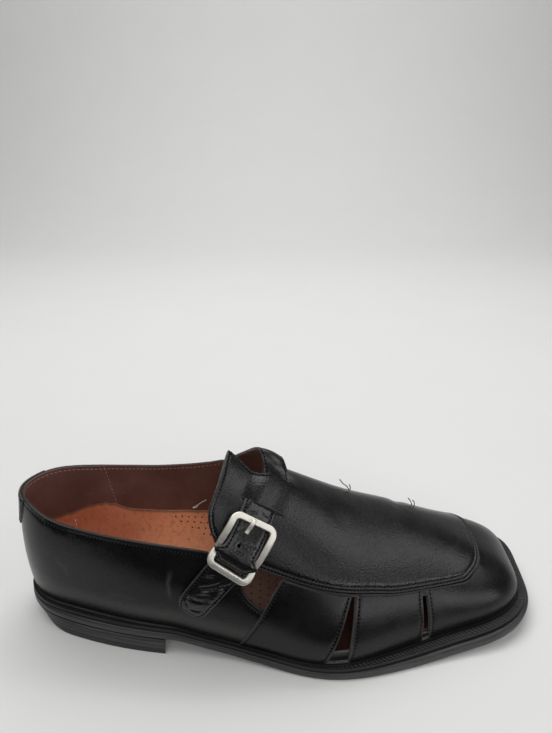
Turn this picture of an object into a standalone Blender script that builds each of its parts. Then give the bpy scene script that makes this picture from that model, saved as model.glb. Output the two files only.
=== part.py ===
"""Right fisherman sandal in black leather: welted sole, low heel, cut-out upper, buckled strap.

Sizes in the tables are millimetres. Toe +X, medial side +Y, lateral side with the buckle -Y, floor at z = 0.
"""
import bmesh
import bpy
import numpy as np
from mathutils import Vector
from mathutils.geometry import delaunay_2d_cdt

MM = 0.001

# Driving sizes
GAP = 0.3                  # clearance between pieces that touch
OUTSOLE_THICKNESS = 4.3
WELT_THICKNESS = 2.0
WALL = 2.3                 # lining side of the upper below the last surface
QUARTER_LEVEL = -0.7       # outer face of the quarters against the last surface
STRIP_LEVEL = 0.0          # outer face of the toe and side strips
APRON_LEVEL = 0.8          # outer face of the apron
BACKSTAY_LEVEL = 0.9       # how far the backstay tab stands out
STEP_RUN = 0.5             # half the run of an overlay's edge
THROAT_X = -45.0           # the apron's step ends ahead of this
SOLE_FOOT_BEVEL = 0.9
SOLE_TOP_BEVEL = 1.0
SOLE_SHOULDER = 0.3        # top of the sole's bevel, as a share of the way from welt edge to sole edge
WELT_BEVEL = 0.7
INSOLE_THICKNESS = 3.4
INSOLE_INSET = 3.4         # insole edge inside the feather line
INSOLE_ROUND = 0.8
WELT_INSET = 6.5           # inner edge of the welt inside the feather line
HEEL_BREAST_X = -65.6
HEEL_HOLLOW = 3.0          # how far the breast curves in
HEEL_FLARE = 0.8           # heel is wider at the floor by this, along its sides
HEEL_UNDERCUT = 5.4        # and shorter by this at its back
HEEL_UNDERCUT_X = -122.0   # where the undercut begins
HEEL_FOOT_BEVEL = 0.6
STRAP_THICKNESS = 1.8
BUCKLE_LENGTH = 27.6       # between the middles of top and bottom bar, along the strap
BUCKLE_WIDTH = 23.4        # between the middles of the side bars
BUCKLE_CORNER = 5.0
BUCKLE_BAR = 3.6
BUCKLE_BAR_HEIGHT = 2.2
CENTRE_BAR = 2.2
CENTRE_BAR_HEIGHT = 1.6
PRONG_WIDTH = 2.2
PRONG_HEIGHT = 1.6
BAR_SQUARENESS = 0.6       # 1 gives round bars, less gives flatter ones

# Sections round the feather line: heel back, lateral side, toe, medial side
SECTION_COLUMNS = ("x", "y", "spine_x", "rise", "bulge", "crown", "welt", "sole")
SECTIONS = (
    # place              x      y    spine_x  rise bulge crown welt  sole
    ("heel back",     -153.5,   6.5, -100.0, 50.0,  6.5, 0.75, 0.4,  0.5),
    ("heel turn lat", -146.0,  -7.7, -100.0, 50.0,  8.0, 0.76, 1.6,  2.2),
    ("heel side lat", -122.5, -19.1,  -96.0, 50.0,  9.5, 0.80, 3.2,  4.6),
    ("breast lat",     -78.0, -31.0,  -76.0, 48.0,  9.0, 0.78, 2.6,  3.8),
    ("waist lat",      -40.0, -36.8,  -40.0, 40.0,  7.0, 0.72, 2.0,  2.8),
    ("instep lat",      -5.0, -43.6,   -5.0, 30.0,  6.0, 0.64, 2.4,  3.4),
    ("ball lat",        25.0, -49.3,   25.0, 24.0,  5.0, 0.60, 3.0,  4.0),
    ("vamp lat",        64.0, -40.2,   62.0, 20.0,  4.0, 0.60, 5.4,  8.0),
    ("toe side lat",   103.5, -27.5,   84.0, 17.0,  3.5, 0.60, 6.6, 10.0),
    ("toe turn lat",   133.0, -16.6,   90.0, 14.0,  3.5, 0.62, 5.9,  8.8),
    ("toe corner lat", 142.5,  -7.0,   90.0, 13.0,  3.0, 0.62, 5.4,  7.4),
    ("toe centre",     147.0,  20.0,   90.0, 13.0,  3.0, 0.62, 6.4,  7.6),
    ("toe corner med", 144.0,  42.0,   90.0, 13.0,  3.0, 0.62, 6.2,  7.8),
    ("toe turn med",   134.0,  47.0,   90.0, 14.0,  3.5, 0.62, 5.2,  6.8),
    ("toe side med",   103.0,  48.6,   84.0, 17.0,  3.5, 0.60, 3.8,  4.8),
    ("ball med",        57.0,  48.4,   57.0, 26.0,  4.0, 0.60, 3.4,  4.6),
    ("instep med",      12.0,  38.5,   12.0, 42.0,  4.0, 0.60, 2.6,  3.6),
    ("waist med",      -33.0,  30.0,  -33.0, 60.0,  4.0, 0.65, 2.0,  2.8),
    ("breast med",     -78.0,  30.5,  -76.0, 60.0,  5.0, 0.78, 2.6,  3.8),
    ("heel side med", -120.0,  29.5,  -96.0, 50.0,  8.0, 0.80, 3.2,  4.6),
    ("heel turn med", -145.0,  20.5, -100.0, 50.0,  7.5, 0.76, 1.6,  2.2),
)

# Ridge of the last: x, y, z. Behind the throat it only guides the walls below the open collar
SPINE = (
    (-110.0,  4.0, 152.0),
    (-73.0,   3.0, 138.0),
    (-43.0,   5.0, 118.0),
    (-18.0,   9.0, 100.0),
    (12.0,   12.0,  83.8),
    (42.0,   15.0,  69.0),
    (72.0,   17.0,  59.0),
    (102.0,  18.5,  46.0),
    (127.0,  19.0,  34.0),
)

# Underside of the sole: x, z. Heel seat, arch, flat tread under the ball, toe spring
SOLE_LINE = (
    (-160.0, 10.8), (-64.0, 10.2), (-40.0, 5.9), (-8.0, 1.5),
    (14.0, 0.0), (66.0, 0.0), (103.0, 2.2), (133.0, 5.4), (160.0, 7.8),
)

# Height of the topline: x of the feather, z on the lateral and on the medial side
TOPLINE = (
    (-156.0, 84.0, 84.0), (-145.0, 84.0, 84.5), (-129.0, 79.2, 83.2), (-117.0, 77.2, 82.4),
    (-101.0, 76.3, 82.0), (-82.0, 75.2, 82.5), (-62.0, 73.2, 84.6), (-45.0, 70.4, 87.8),
    (-30.0, 66.5, 92.5),
)

# Apron seam: x of the feather on each side, and how far up the section it lies (0 feather, 1 ridge)
SEAM = (
    (-40.0, 0.447), (5.0, 0.454), (45.0, 0.457), (66.0, 0.442), (92.0, 0.447),
    (110.0, 0.468), (122.0, 0.535), (135.0, 0.613), (147.0, 0.675),
)

# Edges of the cut pattern: x of the feather and share of the section
QUARTER_FRONT = ((-28.0, 0.425), (-21.0, 0.395), (-20.3, 0.33), (-16.5, 0.285), (-9.4, 0.258))
STRIP_REAR = ((-9.4, 0.258), (-4.5, 0.35), (0.8, 0.445))
STRIP_REAR_LOW = ((-23.5, 0.0), (-16.0, 0.14), (-9.4, 0.258))
TONGUE_LATERAL = (
    (-29.0, 0.447), (-35.9, 0.50), (-38.1, 0.58), (-35.9, 0.663), (-33.1, 0.76), (-31.2, 0.87), (-29.0, 1.0),
)
TONGUE_MEDIAL = ((-24.0, 0.90), (-14.0, 0.78), (-6.0, 0.66), (-1.0, 0.54), (0.8, 0.447))
STRAP_ROOT = ((-20.3, 0.33), (-18.0, 0.395), (-13.0, 0.47), (-17.0, 0.53), (-24.0, 0.57), (-30.0, 0.60))
# Narrow gaps between the strips, the same on both sides: bottom and top of the rear and front edge
STRIP_GAPS = (
    # rear bottom      rear top        front top       front bottom
    ((27.2, 0.105), (35.6, 0.436), (39.4, 0.436), (34.4, 0.115)),
    ((79.4, 0.080), (79.0, 0.395), (84.4, 0.395), (84.2, 0.070)),
)
# Bridge of the apron over the strap: from the lower slit to the upper one
SLIT_LOW = (-10.5, 0.723)
SLIT_HIGH = (-3.4, 0.915)
SLIT_HALF = 15.0
BRIDGE_HALF = 10.8
BRIDGE_FADE = 6.0
BRIDGE_RISE = 2.4
# Tab over the heel seam: half width and depth below the topline
BACKSTAY = ((15.5, 0.0), (14.0, 10.0), (9.0, 20.0), (0.0, 24.0))
BACKSTAY_TOP = 1.5         # its edge lines start this far below the topline

# Strap loop from the medial quarter over the tongue into the upper slit: rear edge, then front edge
STRAP_LOOP = (
    # rear x, y, z      front x, y, z
    (-37.0, 26.3, 80.0, -12.0, 34.0, 58.0),
    (-33.5, 23.3, 89.5, -10.0, 29.5, 70.0),
    (-26.5, 18.4, 97.0,  -5.0, 23.0, 84.0),
    (-19.0, 12.6, 104.0,  0.0, 14.5, 95.5),
    (-14.2,  8.4, 107.6,  1.6,  9.0, 99.2),
    (-11.6,  4.6, 106.0,  3.2,  5.2, 97.2),
    (-10.6,  1.8, 99.5,   4.4,  3.0, 91.5),
    (-10.4,  0.4, 94.8,   4.7,  1.7, 87.2),
)
LOOP_THICKNESS = 2.0

# Buckle strap down the lateral side: its middle line as x of the feather and share of the section
STRAP_MIDDLE = ((-12.3, 0.711), (-15.4, 0.63), (-30.1, 0.37), (-48.6, 0.13))
# Along that line from the lower slit: run, height of the strap's middle over the last, half width
STRAP_RUN = (
    # run   height  half width
    (0.0,   2.6, 9.4),
    (5.0,   2.6, 9.4),
    (12.0,  3.2, 9.3),
    (20.0,  4.6, 9.2),
    (26.5,  5.8, 10.3),
    (29.2,  4.7, 9.2),
    (32.4,  1.9, 8.8),
    (36.0,  1.1, 9.4),
    (42.0,  1.0, 10.2),
    (69.5,  1.0, 10.4),
)
STRAP_TIP_RADIUS = 8.0
TOP_BAR_RUN = 7.4
CENTRE_BAR_RUN = 26.5
# Buckle frame in profile: run along the strap, height of the bar's middle over the last
BUCKLE_PROFILE = ((7.4, 5.2), (13.0, 4.8), (26.5, 2.8), (30.5, 3.4), (35.0, 4.5))
# Prong where it shows, from its hole in the strap to the top bar
PRONG_PATH = (
    # run   height  aside
    (14.0,  5.5,  2.2),
    (11.8,  6.1,  2.0),
    (9.6,   7.2,  1.8),
    (7.4,   7.6,  1.5),
    (6.4,   7.4,  1.4),
)

# Mesh sizes
SHEET_STEP = 8.0
EDGE_STEP = 5.5
OUTLINE_POINTS = 112
SOLE_STEP_ALONG = 8.0
SOLE_STEP_ACROSS = 20.0
STRAP_STEP = 2.6
SECTION_LENGTH = 100.0     # typical length of a section from feather to ridge
CHART_STRETCH = 2.2        # the flat chart of the upper is this much larger than the plan
SHARP_ANGLE = 0.7

COLOURS = {
    # name           colour (linear)          roughness metallic
    "leather":      ((0.008, 0.008, 0.009), 0.38, 0.0),
    "sole":         ((0.012, 0.012, 0.013), 0.55, 0.0),
    "insole":       ((0.30, 0.085, 0.035), 0.60, 0.0),
    "metal":        ((0.62, 0.59, 0.53), 0.32, 1.0),
}


def closed_spline(rows):
    """Smooth closed curve through rows of numbers, with knots spaced by the distance in plan."""
    points = np.array(rows, float)
    count = len(points)
    span = np.linalg.norm((np.roll(points, -1, 0) - points)[:, :2], axis=1)
    knots = np.concatenate(([0.0], np.cumsum(span)))
    system = np.zeros((count, count))
    right = np.zeros_like(points)
    for i in range(count):
        before, after, ahead = span[i - 1], span[i], (i + 1) % count
        system[i, i - 1] += before
        system[i, i] += 2 * (before + after)
        system[i, ahead] += after
        right[i] = 6 * ((points[ahead] - points[i]) / after - (points[i] - points[i - 1]) / before)
    bend = np.linalg.solve(system, right)

    def at(t):
        run = np.asarray(t, float) % 1.0 * knots[-1]
        i = np.clip(np.searchsorted(knots, run, side="right") - 1, 0, count - 1)
        j = (i + 1) % count
        width = span[i][..., None]
        a = (run - knots[i])[..., None]
        b = width - a
        cubic = (bend[i] * b ** 3 + bend[j] * a ** 3) / (6 * width)
        low = points[i] / width - bend[i] * width / 6
        high = points[j] / width - bend[j] * width / 6
        return cubic + low * b + high * a

    return at, knots[-1]


def open_spline(rows):
    """Smooth curve through rows; the first column is the parameter. Returns values and slopes."""
    table = np.array(rows, float)
    x, values = table[:, 0], table[:, 1:]
    count = len(x)
    span = np.diff(x)
    system = np.eye(count)
    right = np.zeros_like(values)
    for i in range(1, count - 1):
        system[i, i - 1:i + 2] = span[i - 1], 2 * (span[i - 1] + span[i]), span[i]
        right[i] = 6 * ((values[i + 1] - values[i]) / span[i] - (values[i] - values[i - 1]) / span[i - 1])
    bend = np.linalg.solve(system, right)

    def at(place):
        place = np.asarray(place, float)
        i = np.clip(np.searchsorted(x, place, side="right") - 1, 0, count - 2)
        width = span[i][..., None]
        a = (place - x[i])[..., None]
        b = width - a
        low = values[i] / width - bend[i] * width / 6
        high = values[i + 1] / width - bend[i + 1] * width / 6
        value = (bend[i] * b ** 3 + bend[i + 1] * a ** 3) / (6 * width) + low * b + high * a
        slope = (bend[i + 1] * a ** 2 - bend[i] * b ** 2) / (2 * width) + high - low
        return value, slope

    return at


def even_table(rows):
    """Interpolation without overshoot, so that equal neighbours give a flat stretch."""
    x, y = np.array(rows, float).T
    slope = np.diff(y) / np.diff(x)
    product = slope[1:] * slope[:-1]
    total = np.where(product > 0, slope[1:] + slope[:-1], 1.0)
    tangent = np.concatenate((slope[:1], np.where(product > 0, 2 * product / total, 0.0), slope[-1:]))

    def at(place):
        place = np.clip(np.asarray(place, float), x[0], x[-1])
        i = np.clip(np.searchsorted(x, place, side="right") - 1, 0, len(x) - 2)
        width = x[i + 1] - x[i]
        u = (place - x[i]) / width
        start = (1 + 2 * u) * (1 - u) ** 2 * y[i] + u * (1 - u) ** 2 * width * tangent[i]
        return start + u * u * (3 - 2 * u) * y[i + 1] + u * u * (u - 1) * width * tangent[i + 1]

    return at


section, PERIMETER = closed_spline([row[1:] for row in SECTIONS])
spine = open_spline(SPINE)
sole_z = even_table(SOLE_LINE)
seam_share = even_table(SEAM)
FEATHER_HEIGHT = OUTSOLE_THICKNESS + WELT_THICKNESS + 2 * GAP


def column(t, name):
    return section(t)[..., SECTION_COLUMNS.index(name)]


def feather(t):
    """Bottom edge of the upper, on top of the welt."""
    x = column(t, "x")
    return np.stack([x, column(t, "y"), sole_z(x) + FEATHER_HEIGHT], -1)


def outward(t):
    """Plan direction that points away from the shoe at the feather line."""
    step = 1e-4
    ahead = (section(np.asarray(t) + step) - section(np.asarray(t) - step))[..., :2]
    ahead = ahead / np.linalg.norm(ahead, axis=-1, keepdims=True)
    return np.stack([ahead[..., 1], -ahead[..., 0]], -1)


def ridge(t):
    x = column(t, "spine_x")
    value, slope = spine(x)
    return np.stack([x, value[..., 0], value[..., 1]], -1), slope[..., 1]


def last_point(t, v):
    """Surface of the last: t runs round the feather line, v from the feather (0) up to the ridge (1)."""
    t, v = np.broadcast_arrays(np.asarray(t, float), np.asarray(v, float))
    foot = feather(t)
    top, slope = ridge(t)
    wall = foot.copy()
    wall[..., :2] += outward(t) * column(t, "bulge")[..., None]
    wall[..., 2] += column(t, "rise")
    crown = top.copy()
    crown[..., :2] += (foot - top)[..., :2] * column(t, "crown")[..., None]
    crown[..., 2] += slope * (crown[..., 0] - top[..., 0])
    u = v[..., None]
    w = 1 - u
    return w ** 3 * foot + 3 * w * w * u * wall + 3 * w * u * u * crown + u ** 3 * top


ROUND = np.linspace(0.0, 1.0, 4001)
ROUND_X = column(ROUND, "x")
TOE = int(np.argmax(ROUND_X))
HEEL = int(np.argmin(ROUND_X[:TOE])) if ROUND_X[:TOE].min() < ROUND_X[TOE:].min() else 0


def station(side, x):
    """Parameter t where the feather line passes x on the lateral or the medial side."""
    if side == "lateral":
        return np.interp(x, ROUND_X[HEEL:TOE + 1], ROUND[HEEL:TOE + 1])
    tail = int(np.argmin(ROUND_X[TOE:])) + TOE
    return np.interp(x, ROUND_X[TOE:tail + 1][::-1], ROUND[TOE:tail + 1][::-1])


def share_at_height(t, z):
    """Share v of the section at which the wall reaches height z."""
    v = np.linspace(0.0, 1.0, 201)
    return float(np.interp(z, np.maximum.accumulate(last_point(np.full(201, t), v)[:, 2]), v))


def side_of(t):
    return "lateral" if t % 1.0 < ROUND[TOE] else "medial"


def pattern(side, rows):
    """Points of the cut pattern as (t, v)."""
    return [(float(station(side, x)), v) for x, v in rows]


def topline_point(t):
    x, lateral, medial = np.array(TOPLINE).T
    z = np.interp(feather(t)[0], x, lateral if side_of(t) == "lateral" else medial)
    return (t, share_at_height(t, z))


def dense(points, step=EDGE_STEP):
    """Open line through (t, v) points, with its points no more than a step apart on the last."""
    line = []
    for (t0, v0), (t1, v1) in zip(points, points[1:]):
        ends = last_point(np.array([t0, t1]), np.array([v0, v1]))
        parts = max(1, int(np.ceil(np.linalg.norm(ends[1] - ends[0]) / step)))
        for k in range(parts):
            a = k / parts
            line.append((t0 + (t1 - t0) * a, v0 + (v1 - v0) * a))
    return line + [points[-1]]


def smooth(points, parts=4):
    """Rounded line through a few (t, v) points."""
    rows = np.array(points, float)
    span = np.linalg.norm(np.diff(rows, axis=0) * (PERIMETER, SECTION_LENGTH), axis=1)
    knots = np.concatenate(([0.0], np.cumsum(span)))
    curve = open_spline(np.column_stack([knots, rows]))
    places = np.concatenate([np.linspace(a, b, parts, endpoint=False) for a, b in zip(knots, knots[1:])])
    return [tuple(row) for row in curve(places)[0]] + [tuple(rows[-1])]


def unrolled(tv):
    """Flat chart of the last for triangulating: the plan, stretched away from the ridge."""
    t, v = np.array(tv, float).T
    top, _ = ridge(t)
    return top[:, :2] + (feather(t) - top)[:, :2] * (CHART_STRETCH * (1 - v))[:, None]


def inside(points, polygon):
    """Even-odd test of flat points against a closed polygon."""
    x, y = points.T[:, :, None]
    ax, ay = polygon.T
    bx, by = np.roll(polygon, -1, 0).T
    crossing = (ay > y) != (by > y)
    where = ax + (y - ay) * (bx - ax) / np.where(by == ay, 1.0, by - ay)
    return (crossing & (x < where)).sum(1) % 2 == 1


def triangulate(loops, lines, fill):
    """Triangles over a flat region: closed loops (the first is the border), open lines, loose points."""
    points, edges = [], []
    for chain, closed in [(loop, True) for loop in loops] + [(line, False) for line in lines]:
        start, count = len(points), len(chain)
        points += [tuple(p) for p in chain]
        edges += [(start + k, start + (k + 1) % count) for k in range(count if closed else count - 1)]
    points += [tuple(p) for p in fill]
    flat, _, faces, origin, _, _ = delaunay_2d_cdt([Vector(p) for p in points], edges, [], 0, 1e-4)
    flat = np.array([tuple(p) for p in flat])
    faces = np.array([tuple(f) for f in faces])
    centre = flat[faces].mean(1)
    keep = inside(centre, np.array(loops[0]))
    for hole in loops[1:]:
        keep &= ~inside(centre, np.array(hole))
    faces = faces[keep]
    corner = flat[faces]
    turn = np.cross(corner[:, 1] - corner[:, 0], corner[:, 2] - corner[:, 0])
    faces = np.where((turn < 0)[:, None], faces[:, ::-1], faces)
    return [group[0] for group in origin], faces


def thinned(candidates, fixed, distance):
    """Loose points that keep a distance from the fixed ones and from each other."""
    kept = list(fixed)
    chosen = []
    for index, place in enumerate(candidates):
        if np.min(np.sum((np.array(kept) - place) ** 2, 1)) > distance ** 2:
            kept.append(place)
            chosen.append(index)
    return chosen


def make_object(name, vertices, faces, material, collection):
    mesh = bpy.data.meshes.new(name)
    corners = [tuple(p) for p in np.asarray(vertices) * MM]
    mesh.from_pydata(corners, [], [tuple(int(i) for i in f) for f in faces])
    shape = bmesh.new()
    shape.from_mesh(mesh)
    loose = [vertex for vertex in shape.verts if not vertex.link_faces]
    bmesh.ops.delete(shape, geom=loose, context="VERTS")
    bmesh.ops.recalc_face_normals(shape, faces=shape.faces)
    shape.to_mesh(mesh)
    shape.free()
    mesh.shade_smooth()
    mesh.set_sharp_from_angle(angle=SHARP_ANGLE)
    made = bpy.data.objects.new(name, mesh)
    made.data.materials.append(material)
    collection.objects.link(made)
    return made


def between_skins(outer, inner, faces):
    """Vertices and faces of the closed solid between two skins with the same triangles."""
    count = len(outer)
    shell = [tuple(f) for f in faces] + [tuple(f[::-1] + count) for f in faces]
    directed = {(f[k], f[(k + 1) % 3]) for f in faces.tolist() for k in range(3)}
    for a, b in sorted(directed):
        if (b, a) not in directed:
            shell.append((b, a, a + count, b + count))
    return np.concatenate([outer, inner]), shell


def skin_normals(points, faces):
    corner = points[faces]
    area = np.cross(corner[:, 1] - corner[:, 0], corner[:, 2] - corner[:, 0])
    total = np.zeros_like(points)
    for k in range(3):
        np.add.at(total, faces[:, k], area)
    return total / np.maximum(np.linalg.norm(total, axis=1, keepdims=True), 1e-9)


def ease(a, b, x):
    u = np.clip((x - a) / (b - a), 0.0, 1.0)
    return u * u * (3 - 2 * u)


def seam_at(t):
    return float(seam_share(feather(t)[0]))


def across_seam(t, offset):
    """Point of the section at t that lies an offset above the apron seam, measured along the section."""
    v = seam_at(t)
    length = np.linalg.norm(last_point(t, v + 0.01) - last_point(t, v - 0.01)) / 0.02
    return (t, v + offset / length)


def heel_run(t):
    """Distance along the feather line from the middle of the heel, lateral side positive."""
    return ((t + 0.5) % 1.0 - 0.5) * PERIMETER


def backstay_half(depth):
    half, down = np.array(BACKSTAY).T
    return np.interp(depth, down, half)


def outer_level(t, v):
    """Height of the upper's outer face over the last, with a step at each overlay."""
    x = float(feather(t)[0])
    side = side_of(t)
    length = np.linalg.norm(last_point(t, min(v + 0.01, 1.0)) - last_point(t, v - 0.01)) / 0.02
    above_seam = (v - seam_at(t)) * length
    rear = [row[0] for row in STRIP_REAR_LOW + STRIP_REAR[1:]]
    share = [row[1] for row in STRIP_REAR_LOW + STRIP_REAR[1:]]
    ahead = x - np.interp(v, share, rear)
    level = QUARTER_LEVEL + (STRIP_LEVEL - QUARTER_LEVEL) * ease(-STEP_RUN, STEP_RUN, ahead)
    on_apron = ease(-STEP_RUN, STEP_RUN, above_seam) * (x > THROAT_X)
    level = level + (APRON_LEVEL - level) * on_apron
    if side == "lateral" and v > SLIT_LOW[1] - 0.02:
        middle = np.interp(v, (SLIT_LOW[1], SLIT_HIGH[1]), (SLIT_LOW[0], SLIT_HIGH[0]))
        across = ease(BRIDGE_HALF + BRIDGE_FADE, BRIDGE_HALF - 2.0, abs(x - middle))
        lip = ease(-STEP_RUN, STEP_RUN, (v - SLIT_LOW[1]) * length)
        fade = ease(1.0, SLIT_HIGH[1], v)
        level += BRIDGE_RISE * across * lip * fade
    run = heel_run(t)
    if abs(run) < 2 * BACKSTAY[0][0]:
        depth = float(last_point(t, topline_point(t)[1])[2] - last_point(t, v)[2])
        edge = backstay_half(depth) - abs(run)
        level += BACKSTAY_LEVEL * ease(-STEP_RUN, STEP_RUN, edge) * (depth < BACKSTAY[-1][1])
    return level


def upper_edges():
    """Collar and throat border, and the gaps between the strips, as closed (t, v) loops."""
    heel_to_front = [topline_point(t) for t in np.linspace(0.0, station("lateral", -33.0), 30)]
    lateral_quarter = smooth(pattern("lateral", QUARTER_FRONT))
    lateral_strip = pattern("lateral", STRIP_REAR)
    apron_rear = [across_seam(station("lateral", x), -STEP_RUN) for x in (-6.0, -14.0, -22.0)]
    tongue = smooth(pattern("lateral", TONGUE_LATERAL))[:-1]
    tongue_medial = smooth([(float(station("medial", -29.0)), 1.0)] + pattern("medial", TONGUE_MEDIAL))
    medial_strip = pattern("medial", STRIP_REAR[::-1])[1:]
    medial_quarter = smooth(pattern("medial", QUARTER_FRONT[:1:-1]))[1:]
    root = smooth(pattern("medial", STRAP_ROOT))[1:]
    front_to_heel = [topline_point(t) for t in np.linspace(station("medial", -36.0), 1.0, 30)][:-1]
    throat = heel_to_front + dense(lateral_quarter) + dense(lateral_strip)[1:] + dense(apron_rear)
    throat += dense(tongue) + dense(tongue_medial) + dense(medial_strip) + dense(medial_quarter)
    throat += dense(root) + front_to_heel
    gaps = []
    for side in ("lateral", "medial"):
        for gap in STRIP_GAPS:
            corners = pattern(side, gap)
            gaps.append(dense(corners + corners[:1])[:-1])
    return throat, gaps


def upper_lines():
    """Lines of the pattern that carry a step: apron seam, strip over quarter, slit and backstay."""
    lines = []
    for offset in (-STEP_RUN, STEP_RUN):
        seam = np.linspace(station("lateral", 4.0), station("medial", 4.0), 44)
        lines.append([across_seam(float(t), offset) for t in seam])
        for side in ("lateral", "medial"):
            lines.append([(float(station(side, x + offset)), v) for x, v in dense_rows(STRIP_REAR_LOW[:-1])])
        low = SLIT_LOW[1] + offset / SECTION_LENGTH
        across = SLIT_LOW[0] + SLIT_HALF * np.linspace(-1.0, 1.0, 7)
        lines.append([(float(station("lateral", x)), low) for x in across])
        lines.append(backstay_line(offset))
    return lines


def dense_rows(rows, parts=4):
    table = np.array(rows)
    return [tuple(table[0] + (table[-1] - table[0]) * k / parts) for k in range(parts + 1)]


def backstay_line(offset):
    """Border of the backstay tab, from one side of the collar to the other."""
    line = []
    for half, depth in BACKSTAY + BACKSTAY[-2::-1]:
        side = 1.0 if len(line) < len(BACKSTAY) else -1.0
        t = (side * max(half - offset, 0.0) / PERIMETER) % 1.0
        top = topline_point(t)[1]
        z = float(last_point(t, top)[2]) - max(depth - offset, BACKSTAY_TOP)
        line.append((t, share_at_height(t, z)))
    return line


def upper_sheet():
    """Triangles of the whole upper on the last, with each vertex's (t, v)."""
    throat, gaps = upper_edges()
    border = [(t, 0.0) for t in np.arange(0.0, 1.0, EDGE_STEP / PERIMETER)]
    lines = upper_lines()
    fixed = border + throat + [p for chain in gaps + lines for p in chain]
    columns = np.arange(0.0, 1.0, SHEET_STEP / PERIMETER)
    candidates = [(t, v) for v in np.arange(0.07, 0.99, 0.075) for t in columns]
    candidates += [(float(station("lateral", x)), 1.0) for x in np.arange(-25.0, 90.0, SHEET_STEP)]
    place = last_point(*np.array(candidates).T)
    chosen = thinned(place, last_point(*np.array(fixed).T), 0.55 * SHEET_STEP)
    fill = [candidates[k] for k in chosen]
    loops = [unrolled(chain) for chain in [border, throat] + gaps]
    origin, faces = triangulate(loops, [unrolled(line) for line in lines], unrolled(fill))
    return np.array(fixed + fill)[origin], faces


def strap_loop_solid(material, collection):
    """Band of leather that stands off the tongue, between a rear and a front edge."""
    rows = np.array(STRAP_LOOP)
    curve = open_spline(np.column_stack([np.arange(len(rows)), rows]))
    edges = curve(np.linspace(0, len(rows) - 1, 3 * len(rows) - 2))[0]
    across = np.linspace(0.0, 1.0, 5)
    grid = edges[:, None, :3] * (1 - across)[:, None] + edges[:, None, 3:] * across[:, None]
    points = grid.reshape(-1, 3)
    width = len(across)
    faces = []
    for i in range(len(edges) - 1):
        for k in range(width - 1):
            a = i * width + k
            faces += [(a, a + 1, a + width), (a + 1, a + width + 1, a + width)]
    faces = np.array(faces)
    normal = skin_normals(points, faces)
    if normal[len(normal) // 2, 2] < 0:
        faces = faces[:, ::-1]
        normal = -normal
    vertices, shell = between_skins(points, points - normal * LOOP_THICKNESS, faces)
    return make_object("strap_loop_form", vertices, shell, material, collection)


def make_upper(material, parts, forms):
    tv, faces = upper_sheet()
    base = last_point(*tv.T)
    normal = skin_normals(base, faces)
    level = np.array([outer_level(t, v) for t, v in tv])
    outer, inner = base + normal * level[:, None], base - normal * WALL
    for skin in (outer, inner):
        skin[:, 2] = np.where(tv[:, 1] == 0.0, base[:, 2], skin[:, 2])
    vertices, shell = between_skins(outer, inner, faces)
    upper = make_object("upper", vertices, shell, material, parts)
    join(upper, strap_loop_solid(material, forms))
    return upper


OUTLINE_T = np.linspace(0.0, 1.0, OUTLINE_POINTS, endpoint=False)


def plan_curve(reach):
    """Closed plan curve outside the feather line by a reach, one number or one for each outline point."""
    return section(OUTLINE_T)[:, :2] + outward(OUTLINE_T) * np.broadcast_to(reach, OUTLINE_T.shape)[:, None]


def layer(name, rings, material, collection, hole=None):
    """Solid between stacked plan rings, each with its height function; caps follow the sole line."""
    top = rings[-1][0]
    low, high = top.min(0), top.max(0)
    xs = np.arange(low[0], high[0], SOLE_STEP_ALONG)
    ys = np.arange(low[1], high[1], SOLE_STEP_ACROSS)
    grid = np.array([(x, y) for x in xs for y in ys])
    vertices, faces = [], []
    for ring, height in (rings[0], rings[-1]):
        loops = [ring] if hole is None else [ring, hole]
        near = np.concatenate(loops)
        fill = grid[inside(grid, ring)]
        if hole is not None:
            fill = fill[~inside(fill, hole)]
        fill = fill[thinned(fill, near, 0.45 * SOLE_STEP_ALONG)] if len(fill) else fill
        origin, cap = triangulate(loops, [], fill)
        flat = np.concatenate(loops + [fill])[origin]
        z = height(flat[:, 0])
        start = len(vertices)
        vertices += list(np.column_stack([flat, z]))
        order = cap[:, ::-1] if ring is rings[0][0] else cap
        faces += [tuple(f + start) for f in order]
    chains = [[(ring, height) for ring, height in rings]]
    if hole is not None:
        chains.append([(hole, rings[-1][1]), (hole, rings[0][1])])
    for chain in chains:
        for (ring_a, height_a), (ring_b, height_b) in zip(chain, chain[1:]):
            count = len(ring_a)
            start = len(vertices)
            vertices += list(np.column_stack([ring_a, height_a(ring_a[:, 0])]))
            vertices += list(np.column_stack([ring_b, height_b(ring_b[:, 0])]))
            for k in range(count):
                n = (k + 1) % count
                faces.append((start + k, start + n, start + n + count, start + k + count))
    made = make_object(name, vertices, faces, material, collection)
    weld(made)
    return made


def weld(made):
    """Join the vertices that caps and walls share."""
    shape = bmesh.new()
    shape.from_mesh(made.data)
    bmesh.ops.remove_doubles(shape, verts=shape.verts, dist=1e-6)
    bmesh.ops.recalc_face_normals(shape, faces=shape.faces)
    shape.to_mesh(made.data)
    shape.free()


def over_sole(height):
    return lambda x: sole_z(x) + height


def make_outsole(material, parts):
    reach, welt = column(OUTLINE_T, "sole"), column(OUTLINE_T, "welt")
    edge = plan_curve(reach)
    rings = [
        (plan_curve(reach - SOLE_FOOT_BEVEL), over_sole(0.0)),
        (edge, over_sole(SOLE_FOOT_BEVEL)),
        (edge, over_sole(OUTSOLE_THICKNESS - SOLE_TOP_BEVEL)),
        (plan_curve(welt + SOLE_SHOULDER * (reach - welt)), over_sole(OUTSOLE_THICKNESS)),
    ]
    return layer("outsole", rings, material, parts)


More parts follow.
